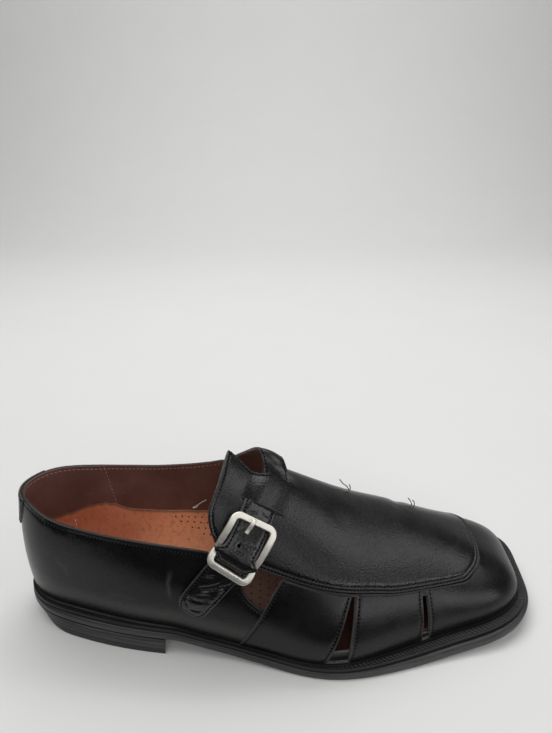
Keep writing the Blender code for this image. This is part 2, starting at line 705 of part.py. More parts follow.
def make_welt(material, parts):
    base = OUTSOLE_THICKNESS + GAP
    reach = column(OUTLINE_T, "welt")
    edge = plan_curve(reach)
    rings = [
        (edge, over_sole(base)),
        (edge, over_sole(base + WELT_THICKNESS - WELT_BEVEL)),
        (plan_curve(reach - WELT_BEVEL), over_sole(base + WELT_THICKNESS)),
    ]
    return layer("welt", rings, material, parts, hole=plan_curve(-WELT_INSET))


def make_insole(material, parts):
    """Footbed on the welt, with its filler inside the welt's ring."""
    filler = plan_curve(-WELT_INSET - GAP)
    board = plan_curve(-INSOLE_INSET)
    seat = FEATHER_HEIGHT
    rings = [
        (filler, over_sole(OUTSOLE_THICKNESS + GAP)),
        (filler, over_sole(seat)),
        (board, over_sole(seat)),
        (board, over_sole(seat + INSOLE_THICKNESS - INSOLE_ROUND)),
        (plan_curve(-INSOLE_INSET - INSOLE_ROUND), over_sole(seat + INSOLE_THICKNESS)),
    ]
    return layer("insole", rings, material, parts)


def heel_outline(flare, undercut):
    """Back of the sole's outline, drawn in at the heel's back and closed by the breast's hollow."""
    back = np.linspace(station("medial", HEEL_BREAST_X) - 1.0, station("lateral", HEEL_BREAST_X), 44)
    reach = column(back, "sole") + flare - undercut * ease(HEEL_UNDERCUT_X, ROUND_X.min(), column(back, "x"))
    edge = section(back)[:, :2] + outward(back) * reach[:, None]
    edge[0, 0] = edge[-1, 0] = HEEL_BREAST_X
    along = np.linspace(0.0, 1.0, 10)[1:-1]
    breast = edge[-1] + (edge[0] - edge[-1]) * along[:, None]
    breast[:, 0] -= HEEL_HOLLOW * 4 * along * (1 - along)
    return np.concatenate([edge, breast])


def make_heel(material, parts):
    rings = [
        (heel_outline(HEEL_FLARE - HEEL_FOOT_BEVEL, HEEL_UNDERCUT), np.zeros_like),
        (heel_outline(HEEL_FLARE, HEEL_UNDERCUT), lambda x: np.full_like(x, HEEL_FOOT_BEVEL)),
        (heel_outline(0.0, 0.0), over_sole(-GAP)),
    ]
    return layer("heel", rings, material, parts)


def strap_frame():
    """Place, run direction, sideways direction and normal of the last along the strap's middle line."""
    t, v = np.array(smooth(pattern("lateral", STRAP_MIDDLE), 60)).T
    middle = last_point(t, v)
    along = np.gradient(middle, axis=0)
    run = np.concatenate(([0.0], np.cumsum(np.linalg.norm(np.diff(middle, axis=0), axis=1))))
    along /= np.linalg.norm(along, axis=1, keepdims=True)
    round_step, up_step = 0.002, 0.005
    round_way = last_point(t + round_step, v) - last_point(t - round_step, v)
    up_way = last_point(t, v + up_step) - last_point(t, v - up_step)
    normal = np.cross(round_way, up_way)
    normal -= along * np.sum(normal * along, 1, keepdims=True)
    normal /= np.linalg.norm(normal, axis=1, keepdims=True)
    normal *= -np.sign(normal[:, 1:2])
    sideways = np.cross(along, normal)
    return run, np.stack([middle, along, sideways, normal], 1)


STRAP_RUNS, STRAP_AXES = strap_frame()


def on_strap(run, aside, height):
    """World place from the run along the strap, the distance aside and the height over the last."""
    run, aside, height = np.broadcast_arrays(*(np.asarray(a, float) for a in (run, aside, height)))
    axes = np.stack([[np.interp(run, STRAP_RUNS, STRAP_AXES[:, i, k]) for k in range(3)] for i in range(4)])
    middle, _, sideways, normal = np.moveaxis(axes, 1, -1)
    return middle + sideways * aside[..., None] + normal * height[..., None]


def make_strap(material, parts):
    table = np.array(STRAP_RUN)
    height_at, half_at = even_table(table[:, :2]), even_table(table[:, ::2])
    end = table[-1, 0]
    straight = np.arange(0.0, end - STRAP_TIP_RADIUS, STRAP_STEP)
    tip = end - STRAP_TIP_RADIUS * (1 - np.sin(np.linspace(0.0, 1.5, 6)))
    runs = np.concatenate([straight, tip])
    across = np.linspace(-1.0, 1.0, 5)
    rows = []
    for run in runs:
        into = max(0.0, run - (end - STRAP_TIP_RADIUS)) / STRAP_TIP_RADIUS
        half = half_at(run) - STRAP_TIP_RADIUS * (1 - np.sqrt(max(0.0, 1 - into ** 2)))
        rows.append(on_strap(run, across * half, height_at(run)))
    points = np.concatenate(rows)
    width = len(across)
    faces = []
    for i in range(len(rows) - 1):
        for k in range(width - 1):
            a = i * width + k
            faces += [(a, a + 1, a + width), (a + 1, a + width + 1, a + width)]
    faces = np.array(faces)
    normal = skin_normals(points, faces)
    flip = np.sign(np.sum(normal[0] * STRAP_AXES[0, 3]))
    faces = faces if flip > 0 else faces[:, ::-1]
    normal = normal * flip
    half = STRAP_THICKNESS / 2
    vertices, shell = between_skins(points + normal * half, points - normal * half, faces)
    return make_object("strap", vertices, shell, material, parts)


def swept(centre, side, up, width, height, closed, sides=8):
    """Rounded bar along a path: rings of points from each place's side and up directions."""
    angle = np.arange(sides) * 2 * np.pi / sides + np.pi / sides
    shape = np.stack([np.cos(angle), np.sin(angle)], 1)
    shape = np.sign(shape) * np.abs(shape) ** BAR_SQUARENESS
    rings = centre[:, None] + side[:, None] * shape[:, :1] * width / 2
    rings = rings + up[:, None] * shape[:, 1:] * height / 2
    count = len(centre)
    faces = []
    for i in range(count if closed else count - 1):
        j = (i + 1) % count
        for k in range(sides):
            n = (k + 1) % sides
            faces.append((i * sides + k, i * sides + n, j * sides + n, j * sides + k))
    if not closed:
        faces.append(tuple(range(sides)))
        faces.append(tuple(range((count - 1) * sides, count * sides)))
    return rings.reshape(-1, 3), faces


def path_axes(places, up, closed):
    ahead = np.roll(places, -1, 0) - np.roll(places, 1, 0) if closed else np.gradient(places, axis=0)
    side = np.cross(ahead, up)
    side /= np.linalg.norm(side, axis=1, keepdims=True)
    return side


def strap_up(run):
    return np.stack([np.interp(run, STRAP_RUNS, STRAP_AXES[:, 3, k]) for k in range(3)], -1)


def rounded_rectangle(half_width, half_length, corner, turn_steps=6, side_steps=5):
    """Closed line of a rectangle with round corners, with points along its straight sides too."""
    line = []
    quarter = np.linspace(0.0, np.pi / 2, turn_steps)
    for index, (a, b) in enumerate(((1, 1), (-1, 1), (-1, -1), (1, -1))):
        middle = np.array((a * (half_width - corner), b * (half_length - corner)))
        angle = quarter + index * np.pi / 2
        line.append(middle + corner * np.column_stack([np.cos(angle), np.sin(angle)]))
    share = np.arange(1, side_steps)[:, None] / side_steps
    sides = [arc[-1] + (following[0] - arc[-1]) * share for arc, following in zip(line, line[1:] + line[:1])]
    return np.concatenate([piece for pair in zip(line, sides) for piece in pair])


def make_buckle(material, parts, forms):
    half_width, half_length = BUCKLE_WIDTH / 2, BUCKLE_LENGTH / 2
    aside, along = rounded_rectangle(half_width, half_length, BUCKLE_CORNER).T
    runs = TOP_BAR_RUN + half_length + along
    profile = open_spline(BUCKLE_PROFILE)
    places = on_strap(runs, aside, profile(runs)[0][:, 0])
    up = strap_up(runs)
    vertices, faces = swept(places, path_axes(places, up, True), up, BUCKLE_BAR, BUCKLE_BAR_HEIGHT, True)
    frame = make_object("buckle_frame", vertices, faces, material, parts)
    reach = np.linspace(-half_width, half_width, 7)
    bar = on_strap(CENTRE_BAR_RUN, reach, float(profile(CENTRE_BAR_RUN)[0][0]))
    up = strap_up(np.full(len(reach), CENTRE_BAR_RUN))
    vertices, faces = swept(bar, path_axes(bar, up, False), up, CENTRE_BAR, CENTRE_BAR_HEIGHT, False)
    join(frame, make_object("centre_bar_form", vertices, faces, material, forms))
    return frame


def join(made, form):
    """Union of a piece with a form that is not a piece of its own."""
    form.hide_render = True
    form.display_type = "WIRE"
    union = made.modifiers.new(form.name, "BOOLEAN")
    union.operation = "UNION"
    union.solver = "EXACT"
    union.object = form


def make_prong(material, parts):
    run, height, aside = np.array(PRONG_PATH).T
    curve = open_spline(np.column_stack([-run, height, aside]))
    runs = np.linspace(run[0], run[-1], 12)
    height, aside = curve(-runs)[0].T
    places = on_strap(runs, aside, height)
    up = strap_up(runs)
    vertices, faces = swept(places, path_axes(places, up, False), up, PRONG_WIDTH, PRONG_HEIGHT, False)
    return make_object("buckle_prong", vertices, faces, material, parts)


def make_material(name):
    colour, roughness, metallic = COLOURS[name]
    material = bpy.data.materials.new(name)
    material.use_nodes = True
    shader = material.node_tree.nodes["Principled BSDF"]
    shader.inputs["Base Color"].default_value = (*colour, 1.0)
    shader.inputs["Roughness"].default_value = roughness
    shader.inputs["Metallic"].default_value = metallic
    return material


def main():
    for thing in list(bpy.data.objects):
        bpy.data.objects.remove(thing, do_unlink=True)
    parts = bpy.data.collections.new("fisherman_sandal")
    forms = bpy.data.collections.new("forms")
    bpy.context.scene.collection.children.link(parts)
    bpy.context.scene.collection.children.link(forms)
    finish = {name: make_material(name) for name in COLOURS}
    make_outsole(finish["sole"], parts)
    make_heel(finish["sole"], parts)
    make_welt(finish["sole"], parts)
    make_insole(finish["insole"], parts)
    make_upper(finish["leather"], parts, forms)
    make_strap(finish["leather"], parts)
    make_buckle(finish["metal"], parts, forms)
    make_prong(finish["metal"], parts)


main()
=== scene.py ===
"""Looks of the right fisherman sandal: fine leather panels, seams, sole, buckle, light and camera.

Tables are in millimetres, as in the solids. Toe +X, medial side +Y, lateral side with the buckle -Y.
"""

import bpy
import numpy as np
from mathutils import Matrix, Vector
from mathutils.geometry import delaunay_2d_cdt
from mathutils.kdtree import KDTree


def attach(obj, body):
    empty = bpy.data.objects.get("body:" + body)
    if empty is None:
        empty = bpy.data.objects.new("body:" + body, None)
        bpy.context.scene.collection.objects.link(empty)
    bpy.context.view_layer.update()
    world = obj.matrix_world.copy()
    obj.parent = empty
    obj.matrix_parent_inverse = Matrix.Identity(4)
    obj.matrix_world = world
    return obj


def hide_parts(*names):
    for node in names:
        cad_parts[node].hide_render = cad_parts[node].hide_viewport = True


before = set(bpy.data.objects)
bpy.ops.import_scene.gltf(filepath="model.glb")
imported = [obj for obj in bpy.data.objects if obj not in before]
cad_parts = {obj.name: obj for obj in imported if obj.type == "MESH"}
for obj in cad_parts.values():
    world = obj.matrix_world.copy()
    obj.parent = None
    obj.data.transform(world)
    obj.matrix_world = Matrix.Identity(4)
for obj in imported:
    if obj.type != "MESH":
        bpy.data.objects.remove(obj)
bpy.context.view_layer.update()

MM = 0.001
SIDES = ("lateral", "medial")
UPWARD = np.array((0.0, 0.0, 1.0))

# Sizes shared with the solids
GAP = 0.3
OUTSOLE_THICKNESS = 4.3
WELT_THICKNESS = 2.0
FEATHER_HEIGHT = OUTSOLE_THICKNESS + WELT_THICKNESS + 2 * GAP
SOLE_FOOT_BEVEL = 0.9
SOLE_TOP_BEVEL = 1.0
SOLE_SHOULDER = 0.3
INSOLE_THICKNESS = 3.4
INSOLE_INSET = 3.4
WELT_INSET = 6.5
HEEL_BREAST_X = -65.6
HEEL_HOLLOW = 3.0
HEEL_FLARE = 0.8
HEEL_UNDERCUT = 5.4
HEEL_UNDERCUT_X = -122.0
BUCKLE_LENGTH = 27.6
BUCKLE_WIDTH = 23.4
BUCKLE_CORNER = 3.4        # tighter than in the solids
BUCKLE_BAR = 3.6
BUCKLE_BAR_HEIGHT = 2.2
PRONG_WIDTH = 2.2
PRONG_HEIGHT = 1.6
STRAP_THICKNESS = 1.8
LOOP_THICKNESS = 2.0

# Faces of the leather layers against the last surface
INNER_LEVEL = -2.3
QUARTER_LEVEL = -0.7
STRIP_LEVEL = 0.0
APRON_LEVEL = 0.8
APRON_INNER_LEVEL = -1.2
TUCK_LEVEL = -1.6          # strips under the apron
BACKSTAY_RISE = 0.9

# Sections round the feather line: heel back, lateral side, toe, medial side
SECTION_COLUMNS = ("x", "y", "spine_x", "rise", "bulge", "crown", "welt", "sole")
SECTIONS = (
    # place              x      y    spine_x  rise bulge crown welt  sole
    ("heel back",     -153.5,   6.5, -100.0, 50.0,  6.5, 0.75, 0.4,  0.5),
    ("heel turn lat", -146.0,  -7.7, -100.0, 50.0,  8.0, 0.76, 1.6,  2.2),
    ("heel side lat", -122.5, -19.1,  -96.0, 50.0,  9.5, 0.80, 3.2,  4.6),
    ("breast lat",     -78.0, -31.0,  -76.0, 48.0,  9.0, 0.78, 2.6,  3.8),
    ("waist lat",      -40.0, -36.8,  -40.0, 40.0,  7.0, 0.72, 2.0,  2.8),
    ("instep lat",      -5.0, -43.6,   -5.0, 30.0,  6.0, 0.64, 2.4,  3.4),
    ("ball lat",        25.0, -49.3,   25.0, 24.0,  5.0, 0.60, 3.0,  4.0),
    ("vamp lat",        64.0, -40.2,   62.0, 20.0,  4.0, 0.60, 5.4,  8.0),
    ("toe side lat",   103.5, -27.5,   84.0, 17.0,  3.5, 0.60, 6.6, 10.0),
    ("toe turn lat",   133.0, -16.6,   90.0, 14.0,  3.5, 0.62, 5.9,  8.8),
    ("toe corner lat", 142.5,  -7.0,   90.0, 13.0,  3.0, 0.62, 5.4,  7.4),
    ("toe centre",     147.0,  20.0,   90.0, 13.0,  3.0, 0.62, 6.4,  7.6),
    ("toe corner med", 144.0,  42.0,   90.0, 13.0,  3.0, 0.62, 6.2,  7.8),
    ("toe turn med",   134.0,  47.0,   90.0, 14.0,  3.5, 0.62, 5.2,  6.8),
    ("toe side med",   103.0,  48.6,   84.0, 17.0,  3.5, 0.60, 3.8,  4.8),
    ("ball med",        57.0,  48.4,   57.0, 26.0,  4.0, 0.60, 3.4,  4.6),
    ("instep med",      12.0,  38.5,   12.0, 42.0,  4.0, 0.60, 2.6,  3.6),
    ("waist med",      -33.0,  30.0,  -33.0, 60.0,  4.0, 0.65, 2.0,  2.8),
    ("breast med",     -78.0,  30.5,  -76.0, 60.0,  5.0, 0.78, 2.6,  3.8),
    ("heel side med", -120.0,  29.5,  -96.0, 50.0,  8.0, 0.80, 3.2,  4.6),
    ("heel turn med", -145.0,  20.5, -100.0, 50.0,  7.5, 0.76, 1.6,  2.2),
)

# Ridge of the last: x, y, z
SPINE = (
    (-110.0,  4.0, 152.0),
    (-73.0,   3.0, 138.0),
    (-43.0,   5.0, 118.0),
    (-18.0,   9.0, 100.0),
    (12.0,   12.0,  83.8),
    (42.0,   15.0,  69.0),
    (72.0,   17.0,  59.0),
    (102.0,  18.5,  46.0),
    (127.0,  19.0,  34.0),
)

# Underside of the sole: x, z
SOLE_LINE = (
    (-160.0, 10.8), (-64.0, 10.2), (-40.0, 5.9), (-8.0, 1.5),
    (14.0, 0.0), (66.0, 0.0), (103.0, 2.2), (133.0, 5.4), (160.0, 7.8),
)

# Height of the topline: x of the feather, z on the lateral and on the medial side
TOPLINE = (
    (-156.0, 84.0, 84.0), (-145.0, 84.0, 84.5), (-129.0, 79.2, 83.2), (-117.0, 77.2, 82.4),
    (-101.0, 76.3, 82.0), (-82.0, 75.2, 82.5), (-62.0, 73.2, 84.6), (-45.0, 70.4, 87.8),
    (-30.0, 66.5, 92.5),
)

# Apron seam: x of the feather on each side, and how far up the section it lies (0 feather, 1 ridge)
SEAM = (
    (-40.0, 0.447), (5.0, 0.454), (45.0, 0.457), (66.0, 0.442), (92.0, 0.447),
    (110.0, 0.468), (122.0, 0.535), (135.0, 0.613), (147.0, 0.675),
)

# Edges of the cut pattern: x of the feather and share of the section
QUARTER_FRONT = ((-28.0, 0.425), (-21.0, 0.395), (-20.3, 0.33), (-16.5, 0.285), (-9.4, 0.258))
QUARTER_TUCK = ((-13.0, 0.0), (-6.0, 0.12), (-2.0, 0.235))
STRIP_REAR = ((-23.5, 0.0), (-16.0, 0.14), (-9.4, 0.258), (-4.5, 0.35), (0.8, 0.445))
TONGUE_LATERAL = (
    (-29.0, 0.447), (-35.9, 0.50), (-38.1, 0.58), (-35.9, 0.663), (-33.1, 0.76),
    (-31.2, 0.87), (-29.9, 0.974),
)
TONGUE_TOP = ((-29.9, 0.974), (-22.6, 0.940), (-15.7, 0.905), (-10.0, 0.915), (-5.0, 0.950), (-2.5, 1.0))
TONGUE_MEDIAL = ((-2.5, 1.0), (-1.6, 0.90), (-0.6, 0.72), (0.4, 0.56), (0.8, 0.447))
STRAP_ROOT = ((-20.3, 0.33), (-18.0, 0.395), (-13.0, 0.47), (-17.0, 0.53), (-24.0, 0.57), (-30.0, 0.60))
STRIP_GAPS = (
    # rear bottom      rear top        front top       front bottom
    ((27.2, 0.105), (37.3, 0.436), (39.6, 0.436), (36.6, 0.115)),
    ((79.2, 0.080), (79.6, 0.395), (82.8, 0.395), (83.2, 0.070)),
)
LATERAL_FRONT_X = -33.0    # where the topline meets the quarter's front
MEDIAL_FRONT_X = -36.0
SEAM_TUCK = 5.0            # how far the strips run on under the apron
STRIP_END_X = 2.6          # where the strips end under the apron
SEAM_ENDS = (-22.0, 0.8)   # x of the seam's lateral and medial end
GAP_FOOT = 0.016           # share of the section at which a gap ends over the welt
SLIT = (-10.5, 0.723)      # cut that the strap comes out of: x of the feather, share of the section
SLIT_HALF = 10.8
SLIT_OPEN = 0.18           # half the width of the cut
BRIDGE_TOP = (-3.4, 0.915)
BRIDGE_REAR = (13.0, 3.0)  # distance from the strap's middle at which the bulge starts and is full
BRIDGE_FRONT = (15.0, 1.0)
BRIDGE_RISE = 2.4
BACKSTAY = ((15.5, 0.0), (14.0, 10.0), (9.0, 20.0), (0.0, 24.0))
BACKSTAY_TURN = (1.5, 2.7, 3.5, 3.9)

# Strap loop from the medial quarter over the tongue into the apron's bridge: rear edge, front edge
STRAP_LOOP = (
    # rear x, y, z      front x, y, z
    (-37.0, 26.3, 80.0, -12.0, 34.0, 58.0),
    (-33.5, 23.3, 89.5, -10.0, 29.5, 70.0),
    (-26.5, 18.4, 97.0,  -5.0, 23.0, 84.0),
    (-19.0, 12.6, 104.0,  0.0, 14.5, 95.5),
    (-14.2,  8.4, 107.6,  1.6,  9.0, 99.2),
    (-11.6,  4.6, 104.6,  3.2,  5.0, 96.4),
    (-10.6,  1.4, 99.2,   4.4,  2.4, 91.6),
    (-10.4, -1.2, 94.4,   4.7,  0.4, 87.0),
)

# Buckle strap down the lateral side: its middle line as x of the feather and share of the section
STRAP_MIDDLE = ((-12.3, 0.711), (-15.4, 0.63), (-30.1, 0.37), (-48.6, 0.13), (-50.3, 0.109))
# Along that line from the slit: run, height of the strap's middle over the last, half width
STRAP_RUN = (
    # run   height  half width
    (-6.0,  0.1, 9.2),
    (-3.0,  0.6, 9.4),
    (0.0,   1.7, 9.4),
    (5.0,   2.4, 9.4),
    (12.0,  3.2, 9.3),
    (20.0,  4.6, 9.2),
    (23.8,  5.3, 9.5),
    (25.2,  5.7, 11.6),
    (26.5,  5.8, 13.2),
    (27.8,  5.3, 12.2),
    (29.4,  4.6, 10.2),
    (32.4,  1.9, 10.0),
    (36.0,  1.1, 9.4),
    (42.0,  1.0, 9.2),
    (71.0,  1.0, 8.8),
)
# The strap's end lies a little towards the heel: run, aside
STRAP_SHIFT = ((30.0, 0.0), (36.0, 0.6), (42.0, 1.25), (53.0, 1.8), (60.0, 1.9), (71.0, 1.3))
STRAP_TIP_RADIUS = 7.4
TOP_BAR_RUN = 7.4
CENTRE_BAR_RUN = 26.5
CENTRE_BAR_SIZE = (2.2, 1.6)
BUCKLE_PROFILE = ((7.4, 5.2), (13.0, 4.8), (26.5, 2.8), (30.5, 3.4), (35.0, 4.5))
PRONG_PATH = (
    # run   height  aside
    (14.0,  5.5,  2.2),
    (11.8,  6.1,  2.0),
    (9.6,   7.2,  1.8),
    (7.4,   7.6,  1.5),
    (6.4,   7.4,  1.4),
)

# Mesh sizes
PANEL_STEP = 1.3
LINE_STEP = 0.8
EDGE_RINGS = (0.14, 0.34, 0.62)
EDGE_RADIUS = 0.62
EDGE_FOOT = 0.012          # edges below this share of the section are hidden by the welt
RING_CLEAR = 0.85          # share of a ring's distance that it keeps from other edges
FILL_CLEAR = 0.55          # share of the step that loose points keep from the edge rings
CAP_CLEAR = 0.6            # the same on the flat caps of the sole
ROW_SPACING = 0.87         # of rows of even triangles
CREST_X = (-40.0, 90.0)    # where the ridge gets points of its own
SECTION_LENGTH = 95.0
CHART_STRETCH = 2.2


def bends(points, span, closed):
    """Second derivatives at the points of a cubic spline; an open one ends without bend."""
    count = len(points)
    system = np.zeros((count, count)) if closed else np.eye(count)
    right = np.zeros_like(points)
    for i in range(count) if closed else range(1, count - 1):
        before, after, ahead = span[i - 1], span[i], (i + 1) % count
        system[i, i - 1], system[i, i], system[i, ahead] = before, 2 * (before + after), after
        right[i] = 6 * ((points[ahead] - points[i]) / after - (points[i] - points[i - 1]) / before)
    return np.linalg.solve(system, right)


def spline_at(knots, points, bend, place):
    """Value and slope of a cubic spline."""
    i = np.clip(np.searchsorted(knots, place, side="right") - 1, 0, len(knots) - 2)
    j = (i + 1) % len(points)
    width = np.diff(knots)[i][..., None]
    a = (place - knots[i])[..., None]
    b = width - a
    low = points[i] / width - bend[i] * width / 6
    high = points[j] / width - bend[j] * width / 6
    value = (bend[i] * b ** 3 + bend[j] * a ** 3) / (6 * width) + low * b + high * a
    slope = (bend[j] * a ** 2 - bend[i] * b ** 2) / (2 * width) + high - low
    return value, slope


def closed_spline(rows):
    """Smooth closed curve through rows of numbers, with knots spaced by the distance in plan."""
    points = np.array(rows, float)
    span = np.linalg.norm((np.roll(points, -1, 0) - points)[:, :2], axis=1)
    knots = np.concatenate(([0.0], np.cumsum(span)))
    bend = bends(points, span, True)

    def at(t):
        return spline_at(knots, points, bend, np.asarray(t, float) % 1.0 * knots[-1])[0]

    return at, knots[-1]


def open_spline(rows):
    """Smooth curve through rows; the first column is the parameter. Returns values and slopes."""
    table = np.array(rows, float)
    knots, points = table[:, 0], table[:, 1:]
    bend = bends(points, np.diff(knots), False)

    def at(place):
        return spline_at(knots, points, bend, np.asarray(place, float))

    return at


def through(rows, count):
    """Smooth line of a number of places through a few rows."""
    rows = np.array(rows, float)
    curve = open_spline(np.column_stack([np.arange(len(rows)), rows]))
    return curve(np.linspace(0, len(rows) - 1, count))[0]


def even_table(rows):
    """Interpolation without overshoot, so that equal neighbours give a flat stretch."""
    x, y = np.array(rows, float).T
    slope = np.diff(y) / np.diff(x)
    product = slope[1:] * slope[:-1]
    total = np.where(product > 0, slope[1:] + slope[:-1], 1.0)
    tangent = np.concatenate((slope[:1], np.where(product > 0, 2 * product / total, 0.0), slope[-1:]))

    def at(place):
        place = np.clip(np.asarray(place, float), x[0], x[-1])
        i = np.clip(np.searchsorted(x, place, side="right") - 1, 0, len(x) - 2)
        width = x[i + 1] - x[i]
        u = (place - x[i]) / width
        start = (1 + 2 * u) * (1 - u) ** 2 * y[i] + u * (1 - u) ** 2 * width * tangent[i]
        return start + u * u * (3 - 2 * u) * y[i + 1] + u * u * (u - 1) * width * tangent[i + 1]

    return at


section, PERIMETER = closed_spline([row[1:] for row in SECTIONS])
spine = open_spline(SPINE)
sole_z = even_table(SOLE_LINE)
seam_share = even_table(SEAM)
topline_lateral = even_table([row[:2] for row in TOPLINE])
topline_medial = even_table([row[::2] for row in TOPLINE])


def column(t, name):
    return section(t)[..., SECTION_COLUMNS.index(name)]


def feather(t):
    """Bottom edge of the upper, on top of the welt."""
    x = column(t, "x")
    return np.stack([x, column(t, "y"), sole_z(x) + FEATHER_HEIGHT], -1)


def unit(ways):
    """Directions with a length of one."""
    return ways / np.maximum(np.linalg.norm(ways, axis=-1, keepdims=True), 1e-9)


def running(places):
    """Distance along a line of places from its start."""
    return np.concatenate(([0.0], np.cumsum(np.linalg.norm(np.diff(places, axis=0), axis=1))))


def outward(t):
    """Plan direction that points away from the shoe at the feather line."""
    step = 1e-4
    ahead = unit((section(np.asarray(t) + step) - section(np.asarray(t) - step))[..., :2])
    return np.stack([ahead[..., 1], -ahead[..., 0]], -1)


def ridge(t):
    x = column(t, "spine_x")
    value, slope = spine(x)
    return np.stack([x, value[..., 0], value[..., 1]], -1), slope[..., 1]


def last_point(t, v):
    """Surface of the last: t runs round the feather line, v from the feather (0) up to the ridge (1)."""
    t, v = np.broadcast_arrays(np.asarray(t, float), np.asarray(v, float))
    foot = feather(t)
    top, slope = ridge(t)
    wall = foot.copy()
    wall[..., :2] += outward(t) * column(t, "bulge")[..., None]
    wall[..., 2] += column(t, "rise")
    crown = top.copy()
    crown[..., :2] += (foot - top)[..., :2] * column(t, "crown")[..., None]
    crown[..., 2] += slope * (crown[..., 0] - top[..., 0])
    u = v[..., None]
    w = 1 - u
    return w ** 3 * foot + 3 * w * w * u * wall + 3 * w * u * u * crown + u ** 3 * top


def last_normal(t, v, round_step=0.0015, up_step=0.004):
    round_way = last_point(t + round_step, v) - last_point(t - round_step, v)
    up_way = last_point(t, np.minimum(v + up_step, 1.0)) - last_point(t, np.maximum(v - up_step, 0.0))
    return unit(np.cross(round_way, up_way))


ROUND = np.linspace(0.0, 1.0, 4001)
ROUND_X = column(ROUND, "x")
TOE = int(np.argmax(ROUND_X))
HEEL = int(np.argmin(ROUND_X[:TOE])) if ROUND_X[:TOE].min() < ROUND_X[TOE:].min() else 0


def station(side, x):
    """Parameter t where the feather line passes x on the lateral or the medial side."""
    if side == "lateral":
        return np.interp(x, ROUND_X[HEEL:TOE + 1], ROUND[HEEL:TOE + 1])
    tail = int(np.argmin(ROUND_X[TOE:])) + TOE
    return np.interp(x, ROUND_X[TOE:tail + 1][::-1], ROUND[TOE:tail + 1][::-1])


def is_lateral(t):
    return np.asarray(t) % 1.0 < ROUND[TOE]


def share_at_height(t, z):
    """Share v of the section at which the wall reaches height z."""
    v = np.linspace(0.0, 1.0, 201)
    return float(np.interp(z, np.maximum.accumulate(last_point(np.full(201, t), v)[:, 2]), v))


def pattern(side, rows):
    """Points of the cut pattern as (t, v)."""
    return [(float(station(side, x)), v) for x, v in rows]


def topline_point(t, below=0.0):
    x = feather(t)[0]
    z = float(topline_lateral(x) if is_lateral(t) else topline_medial(x))
    return (t, share_at_height(t, z - below))


def collar(below=0.0):
    """Topline from its lateral front round the heel to its medial front, or a line below it."""
    ends = station("lateral", LATERAL_FRONT_X), station("medial", MEDIAL_FRONT_X) - 1.0
    return [topline_point(t, below) for t in np.linspace(*ends, 380)]


def dense(points):
    """Open line through (t, v) points, with its points no more than a step apart on the last."""
    line = []
    for (t0, v0), (t1, v1) in zip(points, points[1:]):
        ends = last_point(np.array([t0, t1]), np.array([v0, v1]))
        parts = max(1, int(np.ceil(np.linalg.norm(ends[1] - ends[0]) / LINE_STEP)))
        for a in np.arange(parts) / parts:
            line.append((t0 + (t1 - t0) * a, v0 + (v1 - v0) * a))
    return line + [tuple(points[-1])]


def smooth(points, parts=8):
    """Rounded line through a few (t, v) points."""
    rows = np.array(points, float)
    knots = running(rows * (PERIMETER, SECTION_LENGTH))
    curve = open_spline(np.column_stack([knots, rows]))
    places = [np.linspace(a, b, parts, endpoint=False) for a, b in zip(knots, knots[1:])]
    places = np.concatenate(places)
    return [tuple(row) for row in curve(places)[0]] + [tuple(rows[-1])]


def unrolled(tv):
    """Flat chart of the last for triangulating: the plan, stretched away from the ridge."""
    t, v = np.array(tv, float).T
    top, _ = ridge(t)
    return top[:, :2] + (feather(t) - top)[:, :2] * (CHART_STRETCH * (1 - v))[:, None]


def inside(points, polygon):
    """Even-odd test of flat points against a closed polygon, some thousand points at a time."""
    ax, ay = polygon.T
    bx, by = np.roll(polygon, -1, 0).T
    slope = (bx - ax) / np.where(by == ay, 1.0, by - ay)
    result = []
    for block in np.array_split(points, len(points) // 4000 + 1):
        x, y = block.T[:, :, None]
        crossing = (ay > y) != (by > y)
        result.append((crossing & (x < ax + (y - ay) * slope)).sum(1) % 2 == 1)
    return np.concatenate(result)


def covered(points, loops):
    """Which flat points lie inside the first loop and outside the others."""
    result = inside(points, loops[0])
    for hole in loops[1:]:
        result &= ~inside(points, hole)
    return result


def triangulate(loops, fill):
    """Triangles over a flat region: closed loops (the first is the border) and loose points."""
    points, edges = [], []
    for loop in loops:
        start, count = len(points), len(loop)
        points += [Vector(p) for p in loop]
        edges += [(start + k, start + (k + 1) % count) for k in range(count)]
    points += [Vector(p) for p in fill]
    flat, _, faces, origin, _, _ = delaunay_2d_cdt(points, edges, [], 0, 1e-5)
    flat = np.array([tuple(p) for p in flat])
    faces = np.array([tuple(f) for f in faces])
    faces = faces[covered(flat[faces].mean(1), loops)]
    corner = flat[faces]
    turn = np.cross(corner[:, 1] - corner[:, 0], corner[:, 2] - corner[:, 0])
    faces = np.where((turn < 0)[:, None], faces[:, ::-1], faces)
    return np.array([group[0] for group in origin]), faces


def tree_of(points):
    tree = KDTree(len(points))
    for index, place in enumerate(points):
        tree.insert(place, index)
    tree.balance()
    return tree


def nearest(points, tree):
    found = [tree.find(place) for place in points]
    return np.array([f[2] for f in found]), np.array([f[1] for f in found])


def distance_to_line(points, line, closed=False):
    """Distance of places to a line of places, measured to its pieces next to the nearest corner."""
    away, corner = nearest(points, tree_of(line))
    count = len(line)
    for shift in (-1, 0):
        i = corner + shift
        ok = np.ones(len(points), bool) if closed else (i >= 0) & (i < count - 1)
        a, b = line[i % count], line[(i + 1) % count]
        way = b - a
        share = np.sum((points - a) * way, 1) / np.maximum(np.sum(way * way, 1), 1e-9)
        foot = a + way * np.clip(share, 0.0, 1.0)[:, None]
        away = np.where(ok, np.minimum(away, np.linalg.norm(points - foot, axis=1)), away)
    return away


def ease(a, b, x):
    u = np.clip((x - a) / (b - a), 0.0, 1.0)
    return u * u * (3 - 2 * u)


def bump(x, width):
    return np.exp(-(x / width) ** 2)


